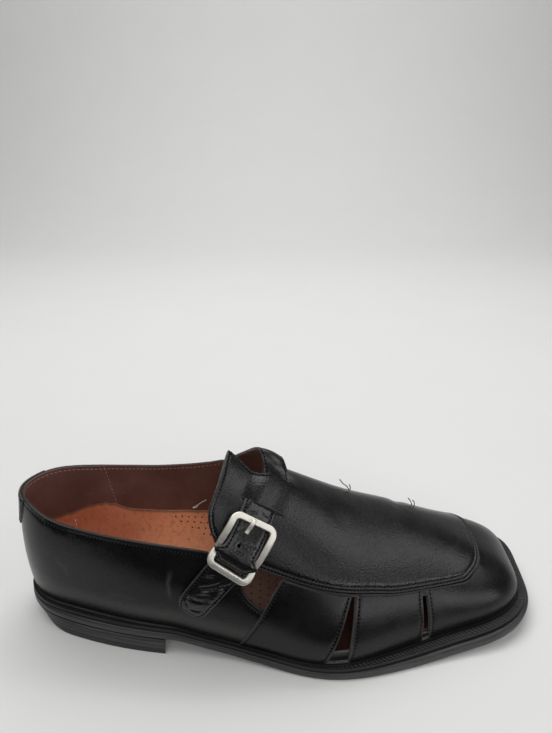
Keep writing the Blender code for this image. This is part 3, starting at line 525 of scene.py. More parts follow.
def skin_normals(points, faces):
    corner = points[faces]
    area = np.cross(corner[:, 1] - corner[:, 0], corner[:, 2] - corner[:, 0])
    total = np.zeros_like(points)
    for k in range(3):
        np.add.at(total, faces[:, k], area)
    return unit(total)


def facing(points, faces, index, way):
    """Faces turned so that the normal at one vertex points a given way, and all the normals."""
    normal = skin_normals(points, faces)
    turned = normal[index] @ way < 0
    return (faces[:, ::-1], -normal) if turned else (faces, normal)


def relaxed(points, faces, weight, rounds):
    """Points drawn towards the mean of their neighbours, by a weight for each point."""
    pairs = np.concatenate([faces[:, [0, 1]], faces[:, [1, 2]], faces[:, [2, 0]]])
    pairs = np.concatenate([pairs, pairs[:, ::-1]])
    count = np.bincount(pairs[:, 0], minlength=len(points))[:, None]
    for _ in range(rounds):
        total = np.zeros_like(points)
        np.add.at(total, pairs[:, 0], points[pairs[:, 1]])
        points = points + (total / np.maximum(count, 1) - points) * weight[:, None]
    return points


def scatter(step):
    """Even spread of (t, v) over the last: rows up the sections, each spaced along its own length."""
    around = np.linspace(0.0, 1.0, 1201)
    rows = int(SECTION_LENGTH / (ROW_SPACING * step))
    points = []
    for k in range(1, rows):
        v = k / rows
        place = last_point(around, v)
        run = running(place)
        count = max(8, int(run[-1] / step))
        t = np.interp((np.arange(count) + 0.5 * (k % 2)) / count * run[-1], run, around)
        points.append(np.column_stack([t, np.full(count, v)]))
    crest = np.arange(*CREST_X, step)
    points.append(np.column_stack([station("lateral", crest), np.ones(len(crest))]))
    return np.concatenate(points)


SCATTER = scatter(PANEL_STEP)
SCATTER_FLAT = unrolled(SCATTER)
SCATTER_PLACE = last_point(*SCATTER.T)


def inset(loop, distance):
    """Points of the last a distance inside a loop that runs counter-clockwise on the chart."""
    t, v = loop.T
    place = last_point(t, v)
    along = unit(np.roll(place, -1, 0) - np.roll(place, 1, 0))
    inward = np.cross(last_normal(t, v), along) * distance
    step = 5e-4
    a = (last_point(t + step, v) - place) / step
    b = (last_point(t, v + step) - place) / step
    aa, ab, bb = np.sum(a * a, 1), np.sum(a * b, 1), np.sum(b * b, 1)
    ia, ib = np.sum(inward * a, 1), np.sum(inward * b, 1)
    det = aa * bb - ab * ab
    return np.column_stack([t + (ia * bb - ib * ab) / det, v + (ib * aa - ia * ab) / det])


def counter_clockwise(loop):
    x, y = unrolled(loop).T
    area = np.sum(x * np.roll(y, -1) - y * np.roll(x, -1))
    return loop if area > 0 else loop[::-1]


def edge_fall(distance, radius):
    """How far a face falls towards a rounded edge."""
    rest = np.clip(radius - distance, 0.0, radius)
    return radius - np.sqrt(radius ** 2 - rest ** 2)


class Panel:
    """Fine triangles over a piece of the last: (t, v) of each vertex and its distance from a cut edge."""

    def __init__(self, loops, rings=()):
        border = counter_clockwise(np.array(loops[0]))
        holes = [counter_clockwise(np.array(hole))[::-1] for hole in loops[1:]]
        loops = [border] + holes
        corners = np.concatenate(loops)
        tree = tree_of(last_point(*corners.T))
        flat_loops = [unrolled(loop) for loop in loops]
        near_edge = []
        for loop in loops:
            for distance in EDGE_RINGS + tuple(rings):
                ring = inset(loop, distance)[loop[:, 1] > EDGE_FOOT]
                ring = ring[(ring[:, 1] < 1.0) & (ring[:, 1] > 0.0)]
                away, _ = nearest(last_point(*ring.T), tree)
                near_edge.append(ring[(away > RING_CLEAR * distance) & covered(unrolled(ring), flat_loops)])
        near_edge = np.concatenate(near_edge)
        fixed = np.concatenate([corners, near_edge])
        choice = covered(SCATTER_FLAT, flat_loops)
        fill, place = SCATTER[choice], SCATTER_PLACE[choice]
        away, _ = nearest(place, tree_of(last_point(*fixed.T)))
        fill = fill[away > FILL_CLEAR * PANEL_STEP]
        loose = np.concatenate([near_edge, fill])
        origin, self.faces = triangulate(flat_loops, unrolled(loose))
        self.tv = np.concatenate([corners, loose])[origin]
        used = np.unique(self.faces)
        number = np.zeros(len(self.tv), int)
        number[used] = np.arange(len(used))
        self.tv, self.faces = self.tv[used], number[self.faces]
        self.place = last_point(*self.tv.T)
        self.x = feather(self.tv[:, 0])[:, 0]
        self.edge = np.full(len(self.tv), 1e3)
        for loop in loops:
            cut = loop[:, 1] > EDGE_FOOT
            line = last_point(*loop.T)
            if cut.all():
                self.edge = np.minimum(self.edge, distance_to_line(self.place, line, True))
                continue
            start = int(np.argmax(~cut))
            line, cut = np.roll(line, -start, 0), np.roll(cut, -start)
            self.edge = np.minimum(self.edge, distance_to_line(self.place, line[cut]))

    def rounding(self, radius=EDGE_RADIUS):
        """How far the outer face falls towards a cut edge."""
        return edge_fall(self.edge, radius)


def seam_at(t):
    """Share of the section at which the apron seam lies, and the section's length per share there."""
    share = seam_share(feather(t)[..., 0])
    step = 0.01
    ends = last_point(t, share + step) - last_point(t, share - step)
    return share, np.linalg.norm(ends, axis=-1) / (2 * step)


def seam_height(t, v):
    """Distance above the apron seam, measured along the section."""
    share, length = seam_at(t)
    return (v - share) * length


def across_seam(t, offset):
    """(t, v) points that lie an offset above the apron seam."""
    share, length = seam_at(t)
    return np.column_stack([t, share + offset / length])


def seam_line():
    """The apron seam round the toe, from its lateral end to its medial one."""
    ends = station("lateral", SEAM_ENDS[0]), station("medial", SEAM_ENDS[1])
    return across_seam(np.linspace(*ends, 480), 0.0)


def linked(name, data):
    """Object of a mesh, lamp or camera, placed in the scene."""
    made = bpy.data.objects.new(name, data)
    bpy.context.scene.collection.objects.link(made)
    return made


def make_piece(name, vertices, faces, materials, indices=None, sharp=0.9, attributes=()):
    """Mesh object in metres that rides on the shoe's one body."""
    mesh = bpy.data.meshes.new(name)
    mesh.from_pydata((np.asarray(vertices) * MM).tolist(), [], [tuple(map(int, f)) for f in faces])
    for material in materials:
        mesh.materials.append(material)
    if indices is not None:
        mesh.polygons.foreach_set("material_index", np.asarray(indices, np.int32))
    for key, values in dict(attributes).items():
        layer = mesh.attributes.new(key, "FLOAT", "POINT")
        layer.data.foreach_set("value", np.asarray(values, np.float32))
    mesh.shade_smooth()
    mesh.set_sharp_from_angle(angle=sharp)
    mesh.validate()
    made = linked(name, mesh)
    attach(made, "root")
    return made


def between_skins(outer, inner, faces):
    """Vertices, faces and face kinds (0 outer, 1 wall, 2 inner) of the solid between two skins."""
    count = len(outer)
    sides = np.concatenate([faces[:, [0, 1]], faces[:, [1, 2]], faces[:, [2, 0]]])
    key = sides[:, 0].astype(np.int64) * count + sides[:, 1]
    back = sides[:, 1].astype(np.int64) * count + sides[:, 0]
    a, b = sides[~np.isin(key, back)].T
    walls = np.column_stack([b, a, a + count, b + count])
    shell = [tuple(f) for part in (faces, walls, faces[:, ::-1] + count) for f in part]
    kinds = np.repeat([0, 1, 2], [len(faces), len(walls), len(faces)])
    return np.concatenate([outer, inner]), shell, kinds


def leather_piece(name, outer, inner, faces, materials, attributes):
    """Piece between two skins; the attributes are for the outer one and nought on the inner one."""
    vertices, shell, kinds = between_skins(outer, inner, faces)
    values = {key: np.append(value, np.zeros(len(value))) for key, value in attributes.items()}
    return make_piece(name, vertices, shell, materials, kinds, attributes=values)


def quarter_outline():
    """Both quarters and the heel in one: foot, lateral front, topline, strap root, medial front."""
    lateral = pattern("lateral", QUARTER_TUCK) + smooth(pattern("lateral", QUARTER_FRONT[::-1]))
    medial = pattern("medial", QUARTER_TUCK) + smooth(pattern("medial", QUARTER_FRONT[:1:-1]))
    medial += smooth(pattern("medial", STRAP_ROOT))[1:]
    medial = [(t - 1.0, v) for t, v in medial]
    foot = [(t, 0.0) for t in np.linspace(medial[0][0], lateral[0][0], 320)]
    return foot[:-1] + dense(lateral) + collar() + dense(medial[::-1])[:-1]


def strip_outline():
    """Toe and side strips, from the feather up to a tuck under the apron."""
    lateral, medial = (dense(pattern(side, STRIP_REAR)) for side in SIDES)
    foot = [(t, 0.0) for t in np.linspace(lateral[0][0], medial[0][0], 380)]
    tuck = np.linspace(station("medial", STRIP_END_X), station("lateral", STRIP_END_X), 420)
    seam = [tuple(row) for row in across_seam(tuck, SEAM_TUCK)]
    return foot[:-1] + medial + seam + lateral[::-1][:-1]


def gap_edges(gap):
    """Rear edge and front edge of a gap between two strips, drawn on down to the welt."""
    rear_bottom, rear_top, front_top, front_bottom = np.array(gap)
    edges = []
    for bottom, top in ((rear_bottom, rear_top), (front_bottom, front_top)):
        low = top + (bottom - top) * (top[1] - GAP_FOOT) / (top[1] - bottom[1])
        edges.append([tuple(low), tuple(top)])
    return edges


def gap_outlines():
    gaps = []
    for side in SIDES:
        for gap in STRIP_GAPS:
            rear, front = gap_edges(gap)
            corners = pattern(side, rear + front[::-1])
            gaps.append(dense(corners + corners[:1])[:-1])
    return gaps


def tongue_line():
    """Free edge of the apron's tongue, from the medial end of the seam to the lateral one."""
    edges = (("medial", TONGUE_MEDIAL), ("lateral", TONGUE_TOP), ("lateral", TONGUE_LATERAL))
    medial, top, lateral = (dense(smooth(pattern(*edge))[::-1]) for edge in edges)
    return medial[:-1] + top[:-1] + lateral


def apron_outline():
    return [tuple(row) for row in seam_line()] + tongue_line()[1:]


def slit_outline():
    """Narrow cut across the bridge, as a closed loop."""
    x, v = SLIT
    half = SLIT_OPEN / SECTION_LENGTH
    across = [float(station("lateral", x + a)) for a in np.linspace(-SLIT_HALF, SLIT_HALF, 31)]
    return [(t, v - half) for t in across] + [(t, v + half) for t in across[::-1]]


def backstay_outline():
    """Tab over the heel seam: along the topline and round below."""
    half, down = np.array(BACKSTAY).T
    depths = np.concatenate([np.linspace(0.0, down[-2], 24), down[-2] + np.array(BACKSTAY_TURN)])
    lower = [(float(np.interp(depth, down, half)), depth) for depth in depths]
    turn = lower + [(0.0, down[-1])] + [(-h, d) for h, d in lower[::-1]]
    outline = [topline_point(h / PERIMETER, d) for h, d in turn]
    top = np.linspace(-half[0], half[0], 40)[1:-1] / PERIMETER
    return outline + [topline_point(t) for t in top]


def bridge_height(t, v):
    """Bulge of the apron over the strap, from its slit up to where the loop goes in."""
    x = feather(t)[..., 0]
    middle = np.interp(v, (SLIT[1], BRIDGE_TOP[1]), (SLIT[0], BRIDGE_TOP[0]))
    across = np.where(x < middle, ease(*BRIDGE_REAR, middle - x), ease(*BRIDGE_FRONT, x - middle))
    lip = ease(SLIT[1] - 0.002, SLIT[1] + 0.002, v)
    return BRIDGE_RISE * across * lip * ease(1.0, BRIDGE_TOP[1], v) * is_lateral(t)


def crease_depth(places, creases):
    """Sum of soft troughs (positive depth) and ridges (negative) along lines of places."""
    total = np.zeros(len(places))
    part = np.linspace(0, 1, 12)[:, None]
    for line, depth, width in creases:
        line = np.array(line, float)
        fine = np.concatenate([a + (b - a) * part for a, b in zip(line, line[1:])])
        ends = np.min([np.linalg.norm(places - end, axis=1) for end in line[[0, -1]]], axis=0)
        fade = 0.35 + 0.65 * ease(0.0, 2.5 * width, ends)
        total += depth * bump(distance_to_line(places, fine), width) * fade
    return total


def on_last(side, rows):
    """Places on the last from x of the feather and share of the section."""
    return last_point(*np.array(pattern(side, rows)).T)


def solid_panel(name, panel, outer_level, inner_level, materials, wear):
    """Leather piece between an outer and an inner level over the last."""
    base = panel.place
    normal = skin_normals(base, panel.faces)
    outer = base + normal * outer_level[:, None]
    inner = base + normal * np.broadcast_to(inner_level, len(base))[:, None]
    for skin in (outer, inner):
        skin[:, 2] = np.where(panel.tv[:, 1] == 0.0, base[:, 2], skin[:, 2])
    panel.outer = outer
    return leather_piece(name, outer, inner, panel.faces, materials, {"wear": wear})


def on_panel(panel, line):
    """Places and normals on a finished panel's outer face, for a (t, v) line."""
    line = np.array(line)
    base = last_point(*line.T)
    _, index = nearest(base, tree_of(panel.place))
    return base + (panel.outer - panel.place)[index], last_normal(*line.T)


def resampled(places, pitch, shift):
    """Even stations along a line of places, as fractions of its index."""
    run = running(places)
    count = max(2, int(run[-1] / pitch))
    return np.interp((np.arange(count) + shift) / count * run[-1], run, np.arange(len(places)))


def read(table, index):
    """Rows of a table at fractions of its index."""
    low = np.minimum(index.astype(int), len(table) - 2)
    share = (index - low)[:, None]
    return table[low] * (1 - share) + table[low + 1] * share


def circle(count):
    """Points round a circle of radius one."""
    angle = np.arange(count) * 2 * np.pi / count
    return np.column_stack([np.cos(angle), np.sin(angle)])


def ring_walls(rings):
    """Quads between rings that follow each other, each an array of the same number of places."""
    count = len(rings[0])
    k = np.arange(count)
    n = (k + 1) % count
    starts = np.arange(len(rings) - 1) * count
    return np.concatenate([np.column_stack([a + k, a + n, a + count + n, a + count + k]) for a in starts])


STITCH_RINGS = ((-1.0, 0.30), (-0.72, 0.86), (0.0, 1.0), (0.72, 0.86), (1.0, 0.30))
STITCH_SIDES = 6
STITCH_DIP = 0.1           # how far the ends of a stitch go in


def stitch_row(places, normals, pitch=2.0, length=1.25, width=0.7, height=0.6, sink=0.0, shift=0.5):
    """Small thread loops along a line of places: vertices and faces."""
    index = resampled(places, pitch, shift)
    centre, up = read(places, index), read(normals, index)
    ahead = unit(read(np.gradient(places, axis=0), index))
    side = unit(np.cross(up, ahead))
    up = np.cross(ahead, side)
    local = []
    for place, size in STITCH_RINGS:
        for a, b in circle(STITCH_SIDES) * size / 2:
            local.append((place * length / 2, a * width, b * height - sink - STITCH_DIP * abs(place)))
    local = np.array(local)
    points = centre[:, None] + ahead[:, None] * local[:, :1]
    points = points + side[:, None] * local[:, 1:2] + up[:, None] * local[:, 2:]
    walls = ring_walls(local.reshape(-1, STITCH_SIDES, 3))
    k = np.arange(STITCH_SIDES)
    caps = np.array([k[::-1], k + len(local) - STITCH_SIDES])
    starts = (np.arange(len(centre)) * len(local))[:, None, None]
    faces = [tuple(f) for part in (walls, caps) for f in (part + starts).reshape(-1, part.shape[1])]
    return points.reshape(-1, 3), faces


HOLE_DEPTH = 0.4


def discs(rings, down):
    """Closed thin discs: rings of places round each top face, and the way down to the lower face."""
    count, sides = rings.shape[:2]
    points = np.concatenate([rings, rings + down], axis=1).reshape(-1, 3)
    k = np.arange(sides)
    n = (k + 1) % sides
    faces = []
    for start in np.arange(count) * 2 * sides:
        faces += [tuple(start + k), tuple(start + sides + k[::-1])]
        faces += [tuple(f) for f in start + np.column_stack([k, k + sides, n + sides, n])]
    return points, faces


def joined(parts):
    """One vertex and face list from several."""
    vertices, faces, start = [], [], 0
    for points, polygons in parts:
        vertices.append(points)
        faces += [tuple(int(i) + start for i in f) for f in polygons]
        start += len(points)
    return np.concatenate(vertices), faces


class Look:
    """Principled material with the procedural textures that the pieces share."""

    def __init__(self, name, colour, roughness, **sockets):
        self.material = bpy.data.materials.new(name)
        self.material.use_nodes = True
        self.nodes = self.material.node_tree.nodes
        self.links = self.material.node_tree.links
        self.shader = self.nodes["Principled BSDF"]
        self.shader.inputs["Base Color"].default_value = (*colour, 1.0)
        self.shader.inputs["Roughness"].default_value = roughness
        for key, value in sockets.items():
            socket = key.replace("_", " ").title().replace("Ior", "IOR")
            self.shader.inputs[socket].default_value = value
        self.place = self.nodes.new("ShaderNodeTexCoord").outputs["Object"]
        self.height = None

    def new(self, kind, output, inputs):
        """One output of a new node, whose inputs get numbers or links."""
        node = self.nodes.new("ShaderNode" + kind)
        for key, value in inputs.items():
            if isinstance(value, bpy.types.NodeSocket):
                self.links.new(value, node.inputs[key])
            else:
                node.inputs[key].default_value = value
        return node.outputs[output]

    def noise(self, scale, detail=3.0, roughness=0.5, stretch=None, turn=(0, 0, 0)):
        inputs = {"Vector": self.place, "Scale": scale, "Detail": detail, "Roughness": roughness}
        if stretch:
            mapping = {"Vector": self.place, "Scale": stretch, "Rotation": turn}
            inputs["Vector"] = self.new("Mapping", "Vector", mapping)
        return self.new("TexNoise", "Fac", inputs)

    def cells(self, scale):
        return self.new("TexVoronoi", "Distance", {"Vector": self.place, "Scale": scale})

    def attribute(self, name):
        node = self.nodes.new("ShaderNodeAttribute")
        node.attribute_name = name
        return node.outputs["Fac"]

    def between(self, source, low, high, a=0.0, b=1.0):
        """Number that goes from a to b while the source goes from low to high."""
        inputs = {"Value": source, "From Min": low, "From Max": high, "To Min": a, "To Max": b}
        return self.new("MapRange", "Result", inputs)

    def plus(self, a, b):
        total = self.new("Math", "Value", {0: a, 1: b})
        total.node.operation = "ADD"
        return total

    def tint(self, factor, colour):
        """Mix the base colour so far towards another one."""
        target = self.shader.inputs["Base Color"]
        node = self.nodes.new("ShaderNodeMix")
        node.data_type = "RGBA"
        self.links.new(factor, node.inputs["Factor"])
        if target.is_linked:
            self.links.new(target.links[0].from_socket, node.inputs["A"])
        else:
            node.inputs["A"].default_value = target.default_value
        node.inputs["B"].default_value = (*colour, 1.0)
        self.links.new(node.outputs["Result"], target)

    def rough(self, source):
        self.links.new(source, self.shader.inputs["Roughness"])

    def relief(self, source, depth, strength=1.0):
        """Bump of a depth in millimetres, on top of the ones before."""
        inputs = {"Strength": strength, "Distance": depth * MM, "Height": source}
        if self.height is not None:
            inputs["Normal"] = self.height
        self.height = self.new("Bump", "Normal", inputs)
        self.links.new(self.height, self.shader.inputs["Normal"])


def leather(name, grain, depth, low, high, shine, coat):
    """Polished black leather: pore grain of a size in millimetres, gloss between two roughnesses."""
    look = Look(name, (0.0042, 0.0042, 0.0046), low, specular_ior_level=shine,
                coat_weight=coat, coat_roughness=0.17)
    cloud = look.noise(55.0, 4.0, 0.6)
    pores = look.cells(1000.0 / grain)
    fine = look.noise(2200.0 / grain, 2.0)
    look.tint(look.between(cloud, 0.35, 0.7), (0.0078, 0.0078, 0.0082))
    scratch = look.noise(16.0, 3.0, 0.6, stretch=(1.0, 1.0, 16.0), turn=(0.5, 0.9, 0.2))
    look.tint(look.between(scratch, 0.66, 0.74, 0.0, 0.3), (0.03, 0.03, 0.03))
    # grey where worn or scuffed, and painted sheen low on the quarters
    look.tint(look.attribute("wear"), (0.105, 0.103, 0.099))
    gloss = look.between(cloud, 0.3, 0.72, low, high)
    gloss = look.plus(gloss, look.between(fine, 0.3, 0.7, -0.05, 0.05))
    gloss = look.plus(gloss, look.between(look.attribute("wear"), 0.0, 1.0, 0.0, 0.2))
    look.rough(gloss)
    look.relief(look.noise(140.0, 3.0), 0.12, 0.5)
    look.relief(pores, depth, 0.8)
    look.relief(fine, 0.6 * depth, 0.6)
    return look.material


def cut_edge():
    look = Look("cut_leather_edge", (0.05, 0.048, 0.046), 0.55)
    look.tint(look.between(look.noise(900.0, 3.0), 0.42, 0.7), (0.19, 0.183, 0.172))
    look.relief(look.noise(1500.0, 2.0), 0.08)
    return look.material


def lining_leather():
    look = Look("lining_leather", (0.105, 0.048, 0.042), 0.42, specular_ior_level=0.5)
    cloud = look.noise(38.0, 5.0, 0.62)
    look.tint(look.between(cloud, 0.4, 0.68), (0.160, 0.082, 0.072))
    look.tint(look.between(look.noise(240.0, 4.0, 0.7), 0.62, 0.78, 0.0, 0.5), (0.27, 0.155, 0.13))
    look.rough(look.between(cloud, 0.3, 0.7, 0.36, 0.56))
    look.relief(look.cells(1150.0), 0.07, 0.6)
    look.relief(look.noise(160.0, 3.0), 0.16, 0.6)
    return look.material


def insole_leather():
    look = Look("insole_leather", (0.57, 0.200, 0.098), 0.5, specular_ior_level=0.4)
    cloud = look.noise(30.0, 5.0, 0.6)
    look.tint(look.between(cloud, 0.36, 0.68), (0.70, 0.300, 0.170))
    # painted light: paler leather towards the waist
    look.tint(look.attribute("pale"), (0.94, 0.44, 0.235))
    look.tint(look.between(look.noise(420.0, 3.0, 0.7), 0.5, 0.75, 0.0, 0.5), (0.22, 0.07, 0.036))
    # darker footbed: painted shade under the apron and along the cup's rim, and darker towards the footbed's
    # rim and sides
    look.tint(look.attribute("wear"), (0.040, 0.015, 0.010))
    look.rough(look.between(cloud, 0.3, 0.7, 0.4, 0.6))
    look.relief(look.noise(1500.0, 3.0), 0.08)
    look.relief(look.noise(120.0, 3.0), 0.2, 0.5)
    return look.material


def sole_edge(name, colour, light, low, high, streak, shine=0.5):
    """Inked and waxed sole edge; streaks run along it."""
    look = Look(name, colour, low, specular_ior_level=shine)
    lines = look.noise(60.0, 4.0, 0.7, stretch=(0.35, 0.35, streak))
    cloud = look.noise(70.0, 4.0)
    look.tint(look.between(lines, 0.45, 0.72), light)
    # darker by the attribute: painted shade on the welt, darker joints and lift on the heel, darker foot on
    # the outsole
    look.tint(look.attribute("wear"), (0.006, 0.006, 0.006))
    look.rough(look.between(cloud, 0.3, 0.7, low, high))
    look.relief(lines, 0.08, 0.7)
    look.relief(look.noise(1300.0, 2.0), 0.03)
    return look.material


def nickel():
    look = Look("satin_nickel", (0.94, 0.91, 0.83), 0.5, metallic=1.0)
    brushed = look.noise(260.0, 4.0, 0.7, stretch=(1.0, 6.0, 1.0), turn=(0.3, 0.9, 0.5))
    look.tint(look.between(look.noise(140.0, 3.0), 0.4, 0.75), (0.88, 0.84, 0.75))
    look.rough(look.between(brushed, 0.3, 0.7, 0.44, 0.58))
    look.relief(brushed, 0.02, 0.5)
    return look.material


def thread(name, colour, light, roughness):
    look = Look(name, colour, roughness, specular_ior_level=0.25)
    look.tint(look.between(look.noise(2500.0, 2.0), 0.4, 0.7), light)
    look.relief(look.noise(3000.0, 2.0), 0.06)
    return look.material


LEATHER_SMOOTH = leather("leather_smooth", 0.9, 0.050, 0.24, 0.36, 0.32, 0.0)
LEATHER_QUARTER = leather("leather_quarter", 0.9, 0.040, 0.20, 0.30, 0.20, 0.0)
LEATHER_APRON = leather("leather_apron", 1.0, 0.125, 0.20, 0.32, 0.44, 0.0)
LEATHER_LOOP = leather("leather_loop", 0.9, 0.05, 0.22, 0.34, 0.55, 0.0)
LEATHER_STRAP = leather("leather_strap", 1.2, 0.10, 0.20, 0.32, 0.5, 0.1)
CUT_EDGE = cut_edge()
LINING = lining_leather()
INSOLE = insole_leather()
SOLE_EDGE = sole_edge("sole_edge", (0.020, 0.020, 0.021), (0.045, 0.045, 0.046), 0.32, 0.46, 3.0)
HEEL_EDGE = sole_edge("heel_edge", (0.016, 0.016, 0.017), (0.06, 0.06, 0.061), 0.34, 0.52, 9.0)
WELT_EDGE = sole_edge("welt_edge", (0.010, 0.010, 0.0105), (0.020, 0.020, 0.021), 0.34, 0.50, 2.0, 0.32)
NICKEL = nickel()
BLACK_THREAD = thread("black_thread", (0.012, 0.012, 0.013), (0.030, 0.030, 0.031), 0.42)
BROWN_THREAD = thread("lining_thread", (0.30, 0.17, 0.13), (0.42, 0.27, 0.22), 0.5)
# painted shade: dark discs that stand for the shaded inside of punched holes
HOLE_SHADE = Look("punched_hole_shade", (0.012, 0.006, 0.004), 0.9, specular_ior_level=0.1).material
# painted shade: near-black pits that stand for needle holes and the strap's hole
PIT_SHADE = Look("needle_hole_shade", (0.001, 0.001, 0.001), 0.9, specular_ior_level=0.0).material
WHITE_THREAD = thread("white_thread", (0.62, 0.58, 0.52), (0.8, 0.76, 0.7), 0.5)

STITCH = {"length": 1.1, "width": 0.62, "height": 0.6, "sink": -0.1}
NEEDLE_HOLE = {"length": 0.95, "width": 1.0, "height": 0.44, "sink": -0.06, "shift": 1.0}
LINING_THREAD = {"pitch": 2.6, "length": 1.75}
black_stitches = []
brown_stitches = []
needle_holes = []


def sew(places, normals):
    """Row of black stitches with the needle holes between them."""
    black_stitches.append(stitch_row(places, normals, **STITCH))
    # needle holes as near-black beads of painted shade
    needle_holes.append(stitch_row(places, normals, **NEEDLE_HOLE))


def rows_round(*rows, margin=0.3):
    """Distances from an edge at which a panel gets vertices for its stitch rows' grooves."""
    return tuple(row + side for row in rows for side in (-margin, 0.0, margin))


def edge_wear(panel, amount=0.55, width=0.5):
    return amount * bump(panel.edge, width)


def longest_run(line, good):
    """Longest run of a line's points that are good."""
    cuts = np.flatnonzero(np.diff(np.concatenate(([0], good.astype(int), [0]))))
    starts, ends = cuts[::2], cuts[1::2]
    longest = int(np.argmax(ends - starts))
    return line[starts[longest]:ends[longest]]


TOP_STITCH = 2.7
LINING_STITCH = 2.4
GROOVE_WIDTH = 0.42        # of the grooves that the stitch rows lie in
QUARTER_GROOVE = 0.28
QUARTER_SEWN_FROM = 0.24   # share of the section
LOW_PAINTED_SHEEN = 0.34            # painted sheen: lighter grey low on the quarters, standing in for the floor's reflection
SHEEN_HEIGHT, SHEEN_WIDTH = 9.0, 6.0
GRIP_SEAM = 1.6            # from the heel grip's edge to its stitches
HEEL_GRIP = 0.45           # thickness of the heel grip on the lining
GRIP_EDGE = ((0.20, -107.0), (0.38, -113.0))
# Marks on the lateral quarter: line as x of the feather and share, strength, width
SCUFFS = (
    (((-58.6, 0.277), (-60.3, 0.230), (-60.0, 0.163)), 0.32, 0.9),
    (((-126.0, 0.210), (-121.9, 0.193), (-118.9, 0.160)), 0.28, 0.8),
    (((-96.0, 0.120), (-88.0, 0.128), (-80.0, 0.122)), 0.16, 1.0),
    (((-140.0, 0.110), (-136.0, 0.100), (-131.0, 0.102)), 0.22, 1.2),
)


def lining_level(t, v):
    """Level of the inner face, lower where the heel grip lies on it."""
    share, edge = np.array(GRIP_EDGE).T
    line = edge[0] + (v - share[0]) * (edge[1] - edge[0]) / (share[1] - share[0])
    return INNER_LEVEL - HEEL_GRIP * ease(line + 0.7, line - 0.7, feather(t)[..., 0])


def on_lining(line):
    """Places and normals on the inner face of the quarters, for a (t, v) line."""
    t, v = np.array(line).T
    normal = last_normal(t, v)
    return last_point(t, v) + normal * lining_level(t, v)[:, None], -normal


def make_quarter():
    outline = quarter_outline()
    panel = Panel([outline], rows_round(TOP_STITCH))
    level = QUARTER_LEVEL - panel.rounding() - QUARTER_GROOVE * bump(panel.edge - TOP_STITCH, GROOVE_WIDTH)
    inner = lining_level(*panel.tv.T) + 0.6 * panel.rounding()
    inner = inner + 0.2 * bump(panel.edge - LINING_STITCH, 0.5)
    scuffs = [(on_last("lateral", line), strength, width) for line, strength, width in SCUFFS]
    height = panel.place[:, 2] - feather(panel.tv[:, 0])[:, 2]
    wear = edge_wear(panel, 0.2) + crease_depth(panel.place, scuffs)
    # painted sheen: the quarters go lighter grey in a band low on the wall, in place of the floor's
    # reflection
    wear = wear + LOW_PAINTED_SHEEN * bump(height - SHEEN_HEIGHT, SHEEN_WIDTH)
    made = solid_panel("quarters", panel, level, inner, [LEATHER_QUARTER, LEATHER_QUARTER, LINING], wear)
    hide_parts("upper")
    loop = counter_clockwise(np.array(outline))
    sew(*on_panel(panel, inset(loop, TOP_STITCH)[loop[:, 1] > QUARTER_SEWN_FROM]))
    brown_stitches.append(stitch_row(*on_lining(collar(LINING_STITCH)), **LINING_THREAD))
    for side in SIDES:
        seam = [(station(side, x + GRIP_SEAM), share) for share, x in GRIP_EDGE]
        brown_stitches.append(stitch_row(*on_lining(dense(seam)), **LINING_THREAD))


STRIP_STITCH = 1.9
STRIP_GROOVE = 0.30
LAP_X = -6.0               # the strips lie on the quarters behind this
# Stitches beside a gap: shares of the section over its foot, over its top, and at most
GAP_STITCH_FROM, GAP_STITCH_OVER, GAP_STITCH_TO = 0.015, 0.03, 0.425


def make_strips():
    outline = strip_outline()
    panel = Panel([outline] + gap_outlines(), rows_round(STRIP_STITCH))
    tuck = ease(-0.9, 1.2, seam_height(*panel.tv.T))
    groove = STRIP_GROOVE * bump(panel.edge - STRIP_STITCH, GROOVE_WIDTH) * (1 - tuck)
    level = STRIP_LEVEL + (TUCK_LEVEL - STRIP_LEVEL) * tuck - panel.rounding() - groove
    inner = np.where(panel.x < LAP_X, QUARTER_LEVEL + 0.1, INNER_LEVEL)
    made = solid_panel("toe_and_side_strips", panel, level, np.minimum(inner, level - 0.4),
                       [LEATHER_SMOOTH, CUT_EDGE, LINING], edge_wear(panel))
    loop = counter_clockwise(np.array(outline))
    row = inset(loop, STRIP_STITCH)
    below_seam = (loop[:, 1] > 0.02) & (seam_height(*loop.T) < 0.1)
    for side in SIDES:
        rear = np.array(dense(pattern(side, STRIP_REAR)))[:, 0]
        on_rear = (loop[:, 0] >= rear.min() - 1e-6) & (loop[:, 0] <= rear.max() + 1e-6)
        sew(*on_panel(panel, row[on_rear & below_seam]))
    for side in SIDES:
        for gap in STRIP_GAPS:
            for edge, shift in zip(gap_edges(gap), (-STRIP_STITCH, STRIP_STITCH)):
                (x0, v0), (x1, v1) = edge
                end = min(v1 + GAP_STITCH_OVER, GAP_STITCH_TO)
                rows = [(x0 + shift, v0 + GAP_STITCH_FROM), (x1 + shift, end)]
                sew(*on_panel(panel, dense(pattern(side, rows))))
            make_gap_floor(side, gap)


GAP_FLOOR_LEVEL = -1.5
GAP_FLOOR_MARGINS = (-5.0, 3.0, 2.4, -2.2)    # past the gap: rear and front foot, front and rear top


def make_gap_floor(side, gap):
    """Lasting margin that shows low in a gap, sunk behind the strips."""
    (rear_x, rear_v), _, _, (front_x, front_v) = gap
    corners = ((rear_x, 0.0), (front_x, 0.0), (front_x, front_v), (rear_x, rear_v))
    rows = [(x + past, v) for (x, v), past in zip(corners, GAP_FLOOR_MARGINS)]
    panel = Panel([dense(pattern(side, rows + rows[:1]))[:-1]])
    level = GAP_FLOOR_LEVEL - panel.rounding(0.5)
    number = STRIP_GAPS.index(gap) + 1
    made = solid_panel(f"gap_floor_{side}_{number}", panel, level, INNER_LEVEL - 0.1,
                       [LEATHER_SMOOTH, CUT_EDGE, LINING], edge_wear(panel, 0.9, 0.6))


